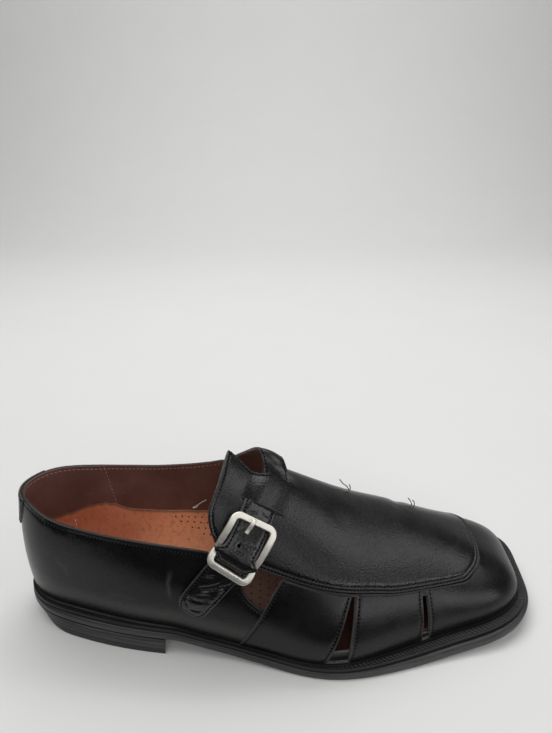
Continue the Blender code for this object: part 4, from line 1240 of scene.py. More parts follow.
SEAM_ROWS = (1.25, 3.1)
SEAM_ROLL = 2.2            # crest of the roll between the two rows
SEAM_GROOVE = 0.46
TONGUE_STITCH = 2.0
TONGUE_GROOVE = 0.26
TONGUE_SEWN_FROM = 6.0     # above the seam
BACKSTAY_STITCH = 1.8
# The apron's ridge is rounded off between these shares and distances from a cut edge
CREST_SHARES = (0.86, 0.98)
CREST_EDGE = (0.3, 4.0)
CREST_ROUNDS = 24
# Creases of the apron: side, line as x of the feather and share, depth, width
APRON_CREASES = (
    ("medial", ((77.0, 0.52), (76.0, 0.72), (75.0, 0.95)), 0.9, 3.2),
    ("lateral", ((20.0, 0.98), (30.0, 0.86), (38.0, 0.70)), 0.35, 6.0),
    ("lateral", ((4.0, 0.64), (16.0, 0.60), (30.0, 0.58)), 0.3, 4.0),
)


def make_apron():
    outline = apron_outline()
    rings = rows_round(*SEAM_ROWS, margin=0.35) + (TONGUE_STITCH, SEAM_ROLL)
    panel = Panel([outline, slit_outline()], rings)
    crest = ease(*CREST_SHARES, panel.tv[:, 1]) * ease(*CREST_EDGE, panel.edge)
    panel.place = relaxed(panel.place, panel.faces, 0.5 * crest, CREST_ROUNDS)
    from_seam = distance_to_line(panel.place, last_point(*seam_line().T))
    from_tongue = distance_to_line(panel.place, last_point(*np.array(tongue_line()).T))
    seam_groove = sum(SEAM_GROOVE * bump(from_seam - row, GROOVE_WIDTH) for row in SEAM_ROWS)
    tongue_groove = TONGUE_GROOVE * bump(from_tongue - TONGUE_STITCH, 0.4)
    groove = np.where(from_seam <= from_tongue, seam_groove, tongue_groove)
    roll = 0.25 * bump(from_seam - SEAM_ROLL, 0.6) + 0.15 * bump(from_seam - 0.5, 0.4)
    creases = [(on_last(side, rows), depth, width) for side, rows, depth, width in APRON_CREASES]
    bridge = bridge_height(*panel.tv.T)
    level = APRON_LEVEL - panel.rounding() - groove + roll + bridge - crease_depth(panel.place, creases)
    inner = np.minimum(APRON_INNER_LEVEL + bridge, level - 0.7)
    made = solid_panel("apron_and_tongue", panel, level, inner, [LEATHER_APRON, CUT_EDGE, LINING],
                       edge_wear(panel, 0.15))
    loop = counter_clockwise(np.array(outline))
    on_seam = np.abs(seam_height(*loop.T)) < 0.05
    first = int(np.argmin(on_seam))
    for row in SEAM_ROWS:
        sew(*on_panel(panel, np.roll(inset(loop, row), -first, 0)[np.roll(on_seam, -first)]))
    row = inset(loop, TONGUE_STITCH)
    sew(*on_panel(panel, longest_run(row, (seam_height(*row.T) > TONGUE_SEWN_FROM) & (row[:, 1] < 0.99))))


def make_backstay():
    outline = backstay_outline()
    panel = Panel([outline], rows_round(BACKSTAY_STITCH))
    groove = 0.14 * bump(panel.edge - BACKSTAY_STITCH, 0.3)
    level = QUARTER_LEVEL + BACKSTAY_RISE - panel.rounding() - groove
    made = solid_panel("backstay", panel, level, QUARTER_LEVEL + 0.02, [LEATHER_SMOOTH, CUT_EDGE, CUT_EDGE],
                       edge_wear(panel, 0.4))
    sew(*on_panel(panel, inset(counter_clockwise(np.array(outline)), BACKSTAY_STITCH)))


def grid_faces(rows, width):
    """Triangles of a grid of places."""
    i, k = np.meshgrid(np.arange(rows - 1), np.arange(width - 1), indexing="ij")
    a = (i * width + k).ravel()
    halves = np.column_stack([a, a + 1, a + width]), np.column_stack([a + 1, a + width + 1, a + width])
    return np.concatenate(halves)


# Shares of the way across a band, closer together at its edges
ACROSS_EDGE = (0.0, 0.008, 0.022, 0.045)
ACROSS = np.concatenate([ACROSS_EDGE, np.linspace(0.08, 0.92, 39), 1 - np.array(ACROSS_EDGE)[::-1]])
BAND_EDGE_RADIUS = 0.7


def at_shares(shares, table):
    """Places in the rows of a band's grid at shares of the way across it."""
    return np.array([[np.interp(s, ACROSS, row[:, k]) for k in range(3)] for s, row in zip(shares, table)])


LOOP_CROWN = 1.6
LOOP_STEPS = 90
LOOP_STITCH = 2.0
LOOP_HELD = 25             # steps at each end over which the crown fades out


def make_loop():
    """Band of leather that stands off the tongue, from the medial quarter into the apron's bridge."""
    edges = through(STRAP_LOOP, LOOP_STEPS)
    grid = edges[:, None, :3] * (1 - ACROSS)[:, None] + edges[:, None, 3:] * ACROSS[:, None]
    points = grid.reshape(-1, 3)
    faces, normal = facing(points, grid_faces(LOOP_STEPS, len(ACROSS)), len(points) // 2, UPWARD)
    crown = LOOP_CROWN * (1 - (2 * ACROSS - 1) ** 2)
    step = np.arange(LOOP_STEPS)
    free = ease(0, LOOP_HELD, step) * ease(LOOP_STEPS - 1, LOOP_STEPS - 1 - LOOP_HELD, step)
    points = points + normal * (crown[None] * free[:, None]).reshape(-1, 1)
    normal = skin_normals(points, faces)
    width = np.linalg.norm(edges[:, 3:] - edges[:, :3], axis=1)
    from_edge = (np.minimum(ACROSS, 1 - ACROSS)[None] * width[:, None]).ravel()
    fall = edge_fall(from_edge, BAND_EDGE_RADIUS) + 0.14 * bump(from_edge - LOOP_STITCH, 0.5)
    outer = points - normal * fall[:, None]
    inner = points - normal * (LOOP_THICKNESS - 0.5 * edge_fall(from_edge, 0.6))[:, None]
    made = leather_piece("strap_loop", outer, inner, faces, [LEATHER_LOOP, CUT_EDGE, LINING],
                         {"wear": 0.35 * bump(from_edge, 0.5)})
    for edge in (0.0, 1.0):
        shares = np.clip(np.abs(edge - LOOP_STITCH / width), 0.0, 1.0)
        row, up = (at_shares(shares, table.reshape(grid.shape)) for table in (outer, normal))
        sew(row[4:-4], up[4:-4])


STRAP_HIDDEN = 50          # steps of the middle line under the bridge


def strap_frame():
    """Place, run direction, sideways direction and normal of the last along the strap's middle line."""
    line = np.array(smooth(pattern("lateral", STRAP_MIDDLE), 60))
    back = line[0] + (line[0] - line[1]) * np.arange(STRAP_HIDDEN, 0, -1)[:, None]
    t, v = np.concatenate([back, line]).T
    middle = last_point(t, v)
    along = unit(np.gradient(middle, axis=0))
    run = running(middle)
    run -= run[STRAP_HIDDEN]
    normal = last_normal(t, v, 0.002, 0.005)
    normal = unit(normal - along * np.sum(normal * along, 1, keepdims=True))
    normal *= -np.sign(normal[:, 1:2])
    return run, np.stack([middle, along, np.cross(along, normal), normal], 1)


STRAP_RUNS, STRAP_AXES = strap_frame()


def strap_axis(run, which):
    """The strap's middle (0), sideways direction (2) or normal (3) at runs along it."""
    return np.stack([np.interp(run, STRAP_RUNS, STRAP_AXES[:, which, k]) for k in range(3)], -1)


def on_strap(run, aside, height):
    """World place from the run along the strap, the distance aside and the height over the last."""
    run, aside, height = np.broadcast_arrays(*(np.asarray(a, float) for a in (run, aside, height)))
    shift = strap_axis(run, 2) * aside[..., None] + strap_axis(run, 3) * height[..., None]
    return strap_axis(run, 0) + shift


def strap_up(run):
    return strap_axis(run, 3)


# Wrinkles of the strap: run, aside of both ends, depth, width
STRAP_WRINKLES = (
    (16.6, -8.0, 18.6, 1.0, 0.10, 1.0),
    (20.8, -7.0, 20.2, 2.0, 0.15, 0.8),
    (22.8, -9.0, 23.6, 4.5, 0.12, 1.0),
    (25.2, -6.0, 25.0, 9.0, 0.08, 0.9),
    (3.2, -8.0, 2.0, -1.0, 0.16, 0.9),
    (4.4, 8.0, 3.0, 1.0, 0.16, 0.9),
    (11.0, 3.0, 15.5, 8.0, 0.14, 1.0),
    (43.3, -5.3, 52.9, 5.1, 0.42, 0.9),
    (45.2, -5.0, 54.2, 4.4, -0.20, 1.0),
    (42.7, -1.6, 51.7, 6.2, 0.30, 0.8),
    (40.9, 2.9, 44.0, 8.5, 0.30, 0.8),
    (41.0, -6.2, 45.7, -0.4, 0.32, 0.8),
    (47.0, -3.2, 51.3, 1.0, 0.24, 0.8),
    (52.5, -6.0, 56.0, -3.5, 0.16, 0.9),
    (56.7, -2.0, 60.4, 6.1, 0.16, 1.6),
    (58.5, 0.0, 62.0, 3.0, -0.20, 2.6),
    (60.0, 8.2, 65.6, 4.6, 0.22, 0.9),
    (63.4, -3.1, 66.0, 2.5, 0.24, 0.9),
)
WRINKLE_DEPTH, WRINKLE_WIDTH = 1.7, 0.75
WRINKLE_SAG = 0.9          # how far a wrinkle's middle lies further along the strap
STRAP_STEP = 0.55
STRAP_HOLE = (20.8, 2.6)   # run, aside
STRAP_HOLE_RADIUS = 0.95
STRAP_HOLE_DENT = 1.1
STRAP_HOLE_LIFT = 0.86
STRAP_PUFF = 0.45          # how far the middle of the strap stands over its edges
STRAP_SUNK = 0.3           # its outer face without that puff
STRAP_EARS = 0.4           # how far the strap lies further over the frame's rear side bar
STRAP_STITCH = 1.7


def make_strap():
    table = np.array(STRAP_RUN)
    height_at, half_at = even_table(table[:, :2]), even_table(table[:, ::2])
    end = table[-1, 0]
    tip_from = end - STRAP_TIP_RADIUS
    tip = end - STRAP_TIP_RADIUS * (1 - np.sin(np.linspace(0.0, 1.55, 22)))
    runs = np.concatenate([np.arange(table[0, 0], tip_from, STRAP_STEP), tip])
    into = np.clip(runs - tip_from, 0.0, None) / STRAP_TIP_RADIUS
    half = half_at(runs) - STRAP_TIP_RADIUS * (1 - np.sqrt(np.maximum(0.0, 1 - into ** 2)))
    aside = (2 * ACROSS - 1)[None] * half[:, None]
    from_edge = half[:, None] - np.abs(aside)
    shift = even_table(STRAP_SHIFT)(runs) + STRAP_EARS * bump(runs - CENTRE_BAR_RUN, 2.4)
    aside = aside + shift[:, None]
    grid = on_strap(runs[:, None], aside, height_at(runs)[:, None])
    points = grid.reshape(-1, 3)
    faces = grid_faces(len(runs), len(ACROSS))
    faces, normal = facing(points, faces, len(ACROSS) * 4 + 10, STRAP_AXES[0, 3])
    flat = np.column_stack([np.repeat(runs, len(ACROSS)), aside.ravel(), np.zeros(aside.size)])
    from_edge = np.minimum(from_edge.ravel(), end - flat[:, 0])
    wrinkles = []
    for r0, a0, r1, a1, depth, width in STRAP_WRINKLES:
        middle = ((r0 + r1) / 2 + WRINKLE_SAG, (a0 + a1) / 2, 0)
        wrinkles.append((((r0, a0, 0), middle, (r1, a1, 0)), WRINKLE_DEPTH * depth, WRINKLE_WIDTH * width))
    from_hole = np.hypot(*(flat[:, :2] - STRAP_HOLE).T)
    trough = crease_depth(flat, wrinkles) + 0.5 * bump(from_hole, STRAP_HOLE_DENT)
    puff = STRAP_PUFF * ease(0.4, 4.0, from_edge)
    fall = edge_fall(from_edge, BAND_EDGE_RADIUS) + 0.2 * bump(from_edge - STRAP_STITCH, 0.45)
    outer = points + normal * (STRAP_THICKNESS / 2 - STRAP_SUNK - fall + puff - trough)[:, None]
    inner = points - normal * (STRAP_THICKNESS / 2)
    wear = np.clip(0.4 * bump(from_edge, 0.5) + 0.25 * np.clip(-trough, 0, 1), 0, 1)
    made = leather_piece("buckle_strap", outer, inner, faces, [LEATHER_STRAP, CUT_EDGE, LINING],
                         {"wear": wear})
    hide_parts("strap")
    hole_run, hole_aside = STRAP_HOLE
    round_way, up_way = STRAP_HOLE_RADIUS * circle(14).T
    ring = on_strap(hole_run + round_way, hole_aside + up_way, float(height_at(hole_run)) + STRAP_HOLE_LIFT)
    down = -HOLE_DEPTH * strap_up(np.array([hole_run]))[:, None]
    # the strap's hole: a near-black disc of painted shade
    made = make_piece("strap_hole", *discs(ring[None], down), [PIT_SHADE])
    use = runs < end - STRAP_STITCH
    rows, ups = [], []
    for edge, order in ((0, 1), (1, -1)):
        shares = np.clip(np.abs(edge - STRAP_STITCH / (2 * np.maximum(half, 1.0))), 0.0, 1.0)
        rows.append(at_shares(shares, outer.reshape(grid.shape))[use][::order])
        ups.append(at_shares(shares, normal.reshape(grid.shape))[use][::order])
    sew(np.concatenate(rows), np.concatenate(ups))


def swept(centre, side, up, width, height, closed, squareness, sides=20, ends=1.0):
    """Rounded bar along a path: rings of points from each place's side and up directions."""
    shape = circle(sides)
    shape = np.sign(shape) * np.abs(shape) ** squareness
    count = len(centre)
    size = np.broadcast_to(ends, count)[:, None, None] / 2
    rings = centre[:, None] + side[:, None] * shape[:, :1] * size * width
    rings = rings + up[:, None] * shape[:, 1:] * size * height
    walls = ring_walls(np.concatenate([rings, rings[:1]]) if closed else rings) % (count * sides)
    faces = [tuple(f) for f in walls]
    if not closed:
        faces.append(tuple(range(sides))[::-1])
        faces.append(tuple(range((count - 1) * sides, count * sides)))
    return rings.reshape(-1, 3), faces


def path_side(places, up, closed):
    ahead = np.roll(places, -1, 0) - np.roll(places, 1, 0) if closed else np.gradient(places, axis=0)
    return unit(np.cross(ahead, up))


def rounded_rectangle(half_width, half_length, corner, turn_steps=14, side_steps=22):
    """Closed line of a rectangle with round corners, with points along its straight sides too."""
    line = []
    quarter = np.linspace(0.0, np.pi / 2, turn_steps)
    for index, (a, b) in enumerate(((1, 1), (-1, 1), (-1, -1), (1, -1))):
        middle = np.array((a * (half_width - corner), b * (half_length - corner)))
        angle = quarter + index * np.pi / 2
        line.append(middle + corner * np.column_stack([np.cos(angle), np.sin(angle)]))
    share = np.arange(1, side_steps)[:, None] / side_steps
    turned = line[1:] + line[:1]
    sides = [arc[-1] + (following[0] - arc[-1]) * share for arc, following in zip(line, turned)]
    return np.concatenate([piece for pair in zip(line, sides) for piece in pair])


def make_buckle():
    half_width, half_length = BUCKLE_WIDTH / 2, BUCKLE_LENGTH / 2
    aside, along = rounded_rectangle(half_width, half_length, BUCKLE_CORNER).T
    runs = TOP_BAR_RUN + half_length + along
    waist = bump(runs - CENTRE_BAR_RUN, 2.6)
    aside = aside * (1 - 0.05 * waist)
    profile = open_spline(BUCKLE_PROFILE)
    places = on_strap(runs, aside, profile(runs)[0][:, 0] - 0.5 * waist)
    up = strap_up(runs)
    bars = [swept(places, path_side(places, up, True), up, BUCKLE_BAR, BUCKLE_BAR_HEIGHT, True, 0.5)]
    reach = np.linspace(-half_width, half_width, 7)
    bar = on_strap(CENTRE_BAR_RUN, reach, float(profile(CENTRE_BAR_RUN)[0][0]))
    up = strap_up(np.full(len(reach), CENTRE_BAR_RUN))
    bars.append(swept(bar, path_side(bar, up, False), up, *CENTRE_BAR_SIZE, False, 0.8))
    made = make_piece("buckle", *joined(bars), [NICKEL])
    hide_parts("buckle_frame")


def make_prong():
    run, height, aside = np.array(PRONG_PATH).T
    curve = open_spline(np.column_stack([-run, height, aside]))
    runs = np.linspace(run[0], run[-1], 40)
    height, aside = curve(-runs)[0].T
    places = on_strap(runs, aside, height)
    up = strap_up(runs)
    tip = np.sqrt(np.clip(1 - (np.linspace(-6.0, 1.0, 40).clip(0.0)) ** 2, 0.03, 1.0))
    bar = swept(places, path_side(places, up, False), up, PRONG_WIDTH, PRONG_HEIGHT, False, 0.85, ends=tip)
    made = make_piece("prong", *bar, [NICKEL])
    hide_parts("buckle_prong")


def flat_cap(ring, height, step, upward):
    """Filled outline whose height is worked out from its places in plan."""
    low, high = ring.min(0), ring.max(0)
    xs, ys = np.arange(low[0], high[0], step), np.arange(low[1], high[1], step)
    grid = np.array([(x + 0.5 * step * (j % 2), y) for x in xs for j, y in enumerate(ys)])
    grid = grid[inside(grid, ring)]
    away, _ = nearest(np.column_stack([grid, np.zeros(len(grid))]),
                      tree_of(np.column_stack([ring, np.zeros(len(ring))])))
    grid = grid[away > CAP_CLEAR * step]
    origin, faces = triangulate([ring], grid)
    flat = np.concatenate([ring, grid])[origin]
    return np.column_stack([flat, height(flat)]), faces if upward else faces[:, ::-1]


def plan(t, reach):
    """Places in plan outside the feather line by a reach."""
    return section(t)[:, :2] + outward(t) * np.broadcast_to(reach, len(t))[:, None]


def raised(flat, height):
    """Places in plan at a height over the sole's line."""
    return np.column_stack([flat, sole_z(flat[:, 0]) + height])


def capped(rings, low, high, steps):
    """Solid of rings, closed by caps of given heights; returns vertices, faces and the upper cap."""
    under, under_faces = flat_cap(rings[0][:, :2], low, steps[0], False)
    over, over_faces = flat_cap(rings[-1][:, :2], high, steps[1], True)
    start = len(rings) * len(rings[0])
    parts = (ring_walls(rings), under_faces + start, over_faces + start + len(under))
    return np.concatenate(rings + [under, over]), [tuple(f) for part in parts for f in part], over


def over_sole(height):
    return lambda flat: sole_z(flat[:, 0]) + height


def darkening_of(rings, wear, vertices):
    """Darkening of a capped solid: a value for each ring, and nought on the caps."""
    values = np.zeros(len(vertices))
    values[:len(rings) * len(rings[0])] = np.repeat(wear, len(rings[0]))
    return values


RIB_PITCH = 2.2
RIB_HEIGHT = 0.30
RIB_SKEW = 1.6
RIBS_FROM, RIBS_FULL = -48.0, -26.0


def make_welt():
    """Strip round the foot, its top pressed into ribs along the forefoot."""
    t = np.linspace(0.0, 1.0, 2200, endpoint=False)
    reach = column(t, "welt")
    run = t * PERIMETER
    along = ease(RIBS_FROM, RIBS_FULL, column(t, "x"))
    along = along * (0.75 + 0.25 * np.sin(run / 3.7) * np.sin(run / 8.3 + 1.0))
    sway = 0.7 * np.sin(run / 6.1) + 0.5 * np.sin(run / 2.9 + 0.6)
    base, top = OUTSOLE_THICKNESS + GAP, OUTSOLE_THICKNESS + GAP + WELT_THICKNESS
    inner_edge = plan(t, -WELT_INSET)
    rings = [raised(inner_edge, base), raised(inner_edge, top), raised(plan(t, -1.2), top + 0.2)]
    # painted shade: darkest where the upper meets the welt, in the rib lows and along the welt's foot over
    # the outsole
    wear = [np.zeros(len(t)), np.zeros(len(t)), np.ones(len(t))]
    for share in np.linspace(0.04, 0.9, 12):
        rib = np.sin(2 * np.pi * ((run + 0.4 * sway) / RIB_PITCH - RIB_SKEW * share * reach / 6.0))
        window = ease(0.12, 0.3, share) * ease(0.9, 0.76, share) * along
        dip = 0.45 * bump(share - 0.1, 0.08) * np.minimum(1.0, reach / 3.0)
        relief = RIB_HEIGHT * (rib - 0.6) * window * np.minimum(1, reach / 4)
        rings.append(raised(plan(t, share * reach), top + relief - dip))
        wear.append(np.full(len(t), 0.9 * bump(share - 0.05, 0.14)) + 0.5 * window * np.clip(-rib, 0, 1))
    upper = ((0.95, top - 0.08, 0.0), (0.985, top - 0.35, 0.0), (1.0, top - 0.8, 0.0))
    for share, height, dark in upper + ((1.0, base + 0.3, 0.8), (0.99, base, 0.8)):
        rings.append(raised(plan(t, share * reach), height))
        wear.append(np.full(len(t), dark))
    rings.append(rings[0])
    wear.append(wear[0])
    made = make_piece("welt_strip", np.concatenate(rings), ring_walls(rings), [WELT_EDGE],
                      attributes={"wear": np.clip(np.concatenate(wear), 0, 1)}, sharp=1.2)
    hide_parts("welt")


# Swell of the outsole's side: height, reach; and its shoulder: share of the way in, drop
OUTSOLE_SIDE = ((1.3, 0.05), (1.9, 0.1), (2.5, 0.06), (OUTSOLE_THICKNESS - SOLE_TOP_BEVEL - 0.1, 0.0))
OUTSOLE_SHOULDER = ((0.12, 0.72), (0.35, 0.42), (0.65, 0.18), (0.9, 0.03), (1.0, 0.0))
# darker towards the bottom of the outsole's foot, ring by ring
OUTSOLE_FOOT_DARK = (0.9, 0.8, 0.6, 0.4, 0.15, 0.0)


def make_outsole():
    """Flat sole with rounded lower edge, a waxed side and a bevel up to the welt."""
    t = np.linspace(0.0, 1.0, 900, endpoint=False)
    reach, welt = column(t, "sole"), column(t, "welt")
    rings, wear = [], list(OUTSOLE_FOOT_DARK)
    for a in np.linspace(0.0, np.pi / 2, len(wear)):
        flat = plan(t, reach - SOLE_FOOT_BEVEL * (1 - np.sin(a)))
        rings.append(raised(flat, SOLE_FOOT_BEVEL * (1 - np.cos(a))))
    for height, out in OUTSOLE_SIDE:
        rings.append(raised(plan(t, reach + out), height))
        wear.append(0.0)
    shoulder = welt + SOLE_SHOULDER * (reach - welt)
    for share, drop in OUTSOLE_SHOULDER:
        flat = plan(t, reach + (shoulder - reach) * share)
        rings.append(raised(flat, OUTSOLE_THICKNESS - SOLE_TOP_BEVEL * drop))
        # darker towards the welt
        wear.append(0.25 * share)
    vertices, faces, _ = capped(rings, over_sole(0.0), over_sole(OUTSOLE_THICKNESS), (4.0, 6.0))
    made = make_piece("outsole_edge", vertices, faces, [SOLE_EDGE], sharp=1.0,
                      attributes={"wear": darkening_of(rings, wear, vertices)})
    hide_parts("outsole")


def heel_outline(flare, undercut):
    """Back of the sole's outline, drawn in at the heel's back and closed by the breast's hollow."""
    back = np.linspace(station("medial", HEEL_BREAST_X) - 1.0, station("lateral", HEEL_BREAST_X), 220)
    reach = column(back, "sole") + flare - undercut * ease(HEEL_UNDERCUT_X, ROUND_X.min(), column(back, "x"))
    edge = plan(back, reach)
    edge[0, 0] = edge[-1, 0] = HEEL_BREAST_X
    along = np.linspace(0.0, 1.0, 42)[1:-1]
    breast = edge[-1] + (edge[0] - edge[-1]) * along[:, None]
    breast[:, 0] -= HEEL_HOLLOW * 4 * along * (1 - along)
    return np.concatenate([edge, breast])


HEEL_LIFT = 3.6            # top of the walking lift
HEEL_LAYER = 2.35
HEEL_BEVEL = 0.6


def make_heel():
    """Stacked block: walking lift, layers with fine joints, and the seat under the sole."""
    joints = np.concatenate(([HEEL_LIFT], np.arange(HEEL_LIFT + HEEL_LAYER, 10.0, HEEL_LAYER)))
    low, high = heel_outline(HEEL_FLARE, HEEL_UNDERCUT), heel_outline(0.0, 0.0)
    middle = high.mean(0)
    foot, wall = [0.0, 0.12, 0.35, HEEL_BEVEL], np.linspace(0.9, 9.9, 34)
    levels = np.unique(np.concatenate([foot, wall, joints, joints - 0.12, joints + 0.12]))
    rings, wear = [], []
    top = sole_z(high[:, 0]) - GAP
    for z in levels:
        share = z / levels[-1]
        ring = low + (high - low) * share
        inward = HEEL_BEVEL * (1 - np.sqrt(1 - (1 - min(z / HEEL_BEVEL, 1.0)) ** 2))
        inward += 0.14 * np.max(bump(z - joints, 0.1))
        ring = ring - unit(ring - middle) * inward
        rings.append(np.column_stack([ring, top * share]))
        wear.append(max(0.75 * float(np.max(bump(z - joints, 0.14))), 0.55 * (z < HEEL_LIFT)))
    vertices, faces, _ = capped(rings, lambda flat: np.zeros(len(flat)), over_sole(-GAP), (4.0, 6.0))
    made = make_piece("stacked_heel", vertices, faces, [HEEL_EDGE], sharp=0.8,
                      attributes={"wear": darkening_of(rings, wear, vertices)})
    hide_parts("heel")


HOLE_PITCH = 5.2
HOLE_RADIUS = 0.55
HOLES_FROM, HOLES_TO = -44.0, 100.0
HOLE_MARGIN = 9.0
HOLE_SIDES = 10
INSOLE_RIM_RADIUS = 0.8
# painted light on the footbed: from where it starts to where it is full
PAINTED_LIGHT_FROM, PAINTED_LIGHT_FULL = -102.0, -66.0
FORE_FROM, FORE_FULL = -38.0, -24.0
FORE_SHADE = 0.94          # painted shade: darker footbed under the apron


def waist_painted_light(places):
    """Painted light: the footbed leather paler towards the waist, where more light falls in."""
    return 0.75 * ease(PAINTED_LIGHT_FROM, PAINTED_LIGHT_FULL, places[:, 0])


def footbed_darkening(places, rim_shade):
    """Darker leather towards a rim, by the rim shade given, and painted shade under the apron."""
    return np.maximum(rim_shade, FORE_SHADE * ease(FORE_FROM, FORE_FULL, places[:, 0]))


def make_insole():
    """Footbed with a rounded rim, and the punched holes of its fore part."""
    t = np.linspace(0.0, 1.0, 700, endpoint=False)
    base, seat = OUTSOLE_THICKNESS + GAP, FEATHER_HEIGHT
    top = seat + INSOLE_THICKNESS
    filler = plan(t, -WELT_INSET - GAP)
    rings = [raised(filler, base), raised(filler, seat), raised(plan(t, -INSOLE_INSET), seat)]
    for a in np.linspace(0.0, np.pi / 2, 5):
        flat = plan(t, -INSOLE_INSET - INSOLE_RIM_RADIUS * (1 - np.cos(a)))
        rings.append(raised(flat, top - INSOLE_RIM_RADIUS * (1 - np.sin(a))))
    vertices, faces, over = capped(rings, over_sole(base), over_sole(top), (8.0, 2.2))
    from_rim = distance_to_line(over * (1, 1, 0), rings[-1] * (1, 1, 0), True)
    # darker towards the footbed's rim and on its sides, and painted shade under the apron
    shade = footbed_darkening(over, 0.7 * bump(from_rim, 6.0))
    wear = np.concatenate([np.full(len(vertices) - len(over), 0.7), shade])
    made = make_piece("footbed", vertices, faces, [INSOLE],
                      attributes={"wear": wear, "pale": waist_painted_light(vertices)})
    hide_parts("insole")
    make_insole_holes(rings[-1], top)


def make_insole_holes(rim, top):
    xs = np.arange(HOLES_FROM, HOLES_TO, HOLE_PITCH)
    ys = np.arange(-50.0, 50.0, HOLE_PITCH)
    grid = np.array([(x, y + 0.5 * HOLE_PITCH * (i % 2), 0.0) for i, x in enumerate(xs) for y in ys])
    grid = grid[inside(grid[:, :2], rim[:, :2])]
    grid = grid[distance_to_line(grid, rim * (1, 1, 0), True) > HOLE_MARGIN]
    disc = np.column_stack([circle(HOLE_SIDES), np.zeros(HOLE_SIDES)]) * HOLE_RADIUS
    points = grid[:, None] + disc[None]
    points[..., 2] = sole_z(points[..., 0]) + top + 0.03
    # punched holes as discs of painted shade
    made = make_piece("footbed_holes", *discs(points, -HOLE_DEPTH * UPWARD), [HOLE_SHADE])


# Rim of the footbed leather on the inner wall: x of the feather, share of the section
CUP_RIM = (
    (-154.0, 0.222), (-149.8, 0.220), (-145.9, 0.190), (-141.3, 0.180), (-134.1, 0.187), (-125.5, 0.200),
    (-119.0, 0.210), (-112.0, 0.210), (-106.0, 0.203), (-100.4, 0.185), (-90.7, 0.174), (-74.3, 0.169),
    (-55.0, 0.180), (-45.9, 0.196), (-34.0, 0.165), (-15.0, 0.095), (5.0, 0.060), (20.0, 0.045),
)
CUP_LEVEL = -3.1
CUP_RADIUS = 17.0
CUP_THICKNESS = 0.8
CUP_WRINKLED = (-96.0, -112.0)    # from where to where the rim starts to wave
CUP_TIGHT, CUP_TIGHT_X = 6.0, (-95.0, -130.0)    # smaller radius at the heel
CUP_TURN = np.linspace(0.0, np.pi / 2, 22)
cup_rim = even_table(CUP_RIM)


def cup_frame(t):
    """Function that gives places on the footbed leather for the stations t.

    Its turn goes from the flat footbed (0) to the rim on the wall (pi/2); over and out shift the place.
    """
    share = np.linspace(0.0, 0.5, 101)
    around, up = np.broadcast_arrays(t[:, None], share[None])
    wall = last_point(around, up) + last_normal(around, up) * CUP_LEVEL
    level = np.maximum.accumulate(wall[..., 2], axis=1)
    x = column(t, "x")
    run = t * PERIMETER
    wrinkled = 0.25 + 0.75 * ease(*CUP_WRINKLED, x)
    wave = wrinkled * (0.35 * np.sin(run / 2.1) + 0.3 * np.sin(run / 0.9 + 1.0) * np.sin(run / 11.0))
    base = sole_z(x) + FEATHER_HEIGHT + INSOLE_THICKNESS
    rise = np.maximum(last_point(t, cup_rim(x))[:, 2] + wave - base, 0.2)
    radius = 1.0 + (CUP_RADIUS - CUP_TIGHT * ease(*CUP_TIGHT_X, x)) * ease(0.0, 16.0, rise)
    away = outward(t)

    def places(turn, over=0.0, out=0.0):
        height = base + rise * (1 - np.cos(turn)) + over
        rows = zip(height, level, wall)
        flat = np.array([[np.interp(h, z, w[:, k]) for k in range(2)] for h, z, w in rows])
        flat = flat - away * (radius * (1 - np.sin(turn)) - out)[:, None]
        return np.column_stack([flat, height])

    return places


def make_cup():
    """Tan leather of the footbed, turned up the inside of the heel and the waist."""
    t = np.linspace(station("medial", CUP_RIM[-1][0]) - 1.0, station("lateral", CUP_RIM[-1][0]), 460)
    places = cup_frame(t)
    rows = [places(0.0, -0.4)] + [places(turn) for turn in CUP_TURN[1:]]
    rows += [places(np.pi / 2, 0.22, 0.2), places(np.pi / 2, 0.3, 0.9)]
    points = np.concatenate(rows)
    index = len(t) * 3 + len(t) // 2
    faces, normal = facing(points, grid_faces(len(rows), len(t)), index, UPWARD)
    vertices, shell, _ = between_skins(points, points - normal * CUP_THICKNESS, faces)
    from_rim = np.concatenate([np.linalg.norm(row - rows[-3], axis=1) for row in rows])
    # painted shadow along the cup's rim, and painted shade under the apron
    wear = np.append(footbed_darkening(points, 0.75 * bump(from_rim, 0.8)), np.zeros(len(points)))
    made = make_piece("footbed_cup", vertices, shell, [INSOLE],
                      attributes={"wear": wear, "pale": waist_painted_light(vertices)})
    make_cup_holes()


# Rows of holes on the turned leather: turn, x of the first hole
CUP_HOLE_ROWS = ((1.42, -67.5), (1.29, -64.0), (1.155, -57.0), (1.02, -49.5), (0.88, -43.0))
CUP_HOLE_PITCH = 4.2
CUP_HOLES_TO = -24.0


def make_cup_holes():
    """Punched holes of the waist that run on up the turned leather."""
    rings, downs = [], []
    cos, sin = circle(HOLE_SIDES).T[:, :, None]
    for side in SIDES:
        for turn, start in CUP_HOLE_ROWS:
            t = station(side, np.arange(start, CUP_HOLES_TO, CUP_HOLE_PITCH))
            places = cup_frame(t)
            place = places(turn)
            along = unit(cup_frame(t + 1e-3)(turn) - place)
            normal = unit(np.cross(along, places(turn + 0.02) - place))
            normal *= -np.sign(np.sum(normal[:, :2] * outward(t), 1))[:, None]
            ring = along[:, None] * cos + np.cross(normal, along)[:, None] * sin
            rings.append((place + normal * 0.06)[:, None] + ring * HOLE_RADIUS)
            downs.append(np.broadcast_to(normal[:, None] * -HOLE_DEPTH, rings[-1].shape))
    # punched holes as discs of painted shade
    made = make_piece("cup_holes", *discs(np.concatenate(rings), np.concatenate(downs)), [HOLE_SHADE])


STRAND_UP = (0.12, -0.75, 0.65)


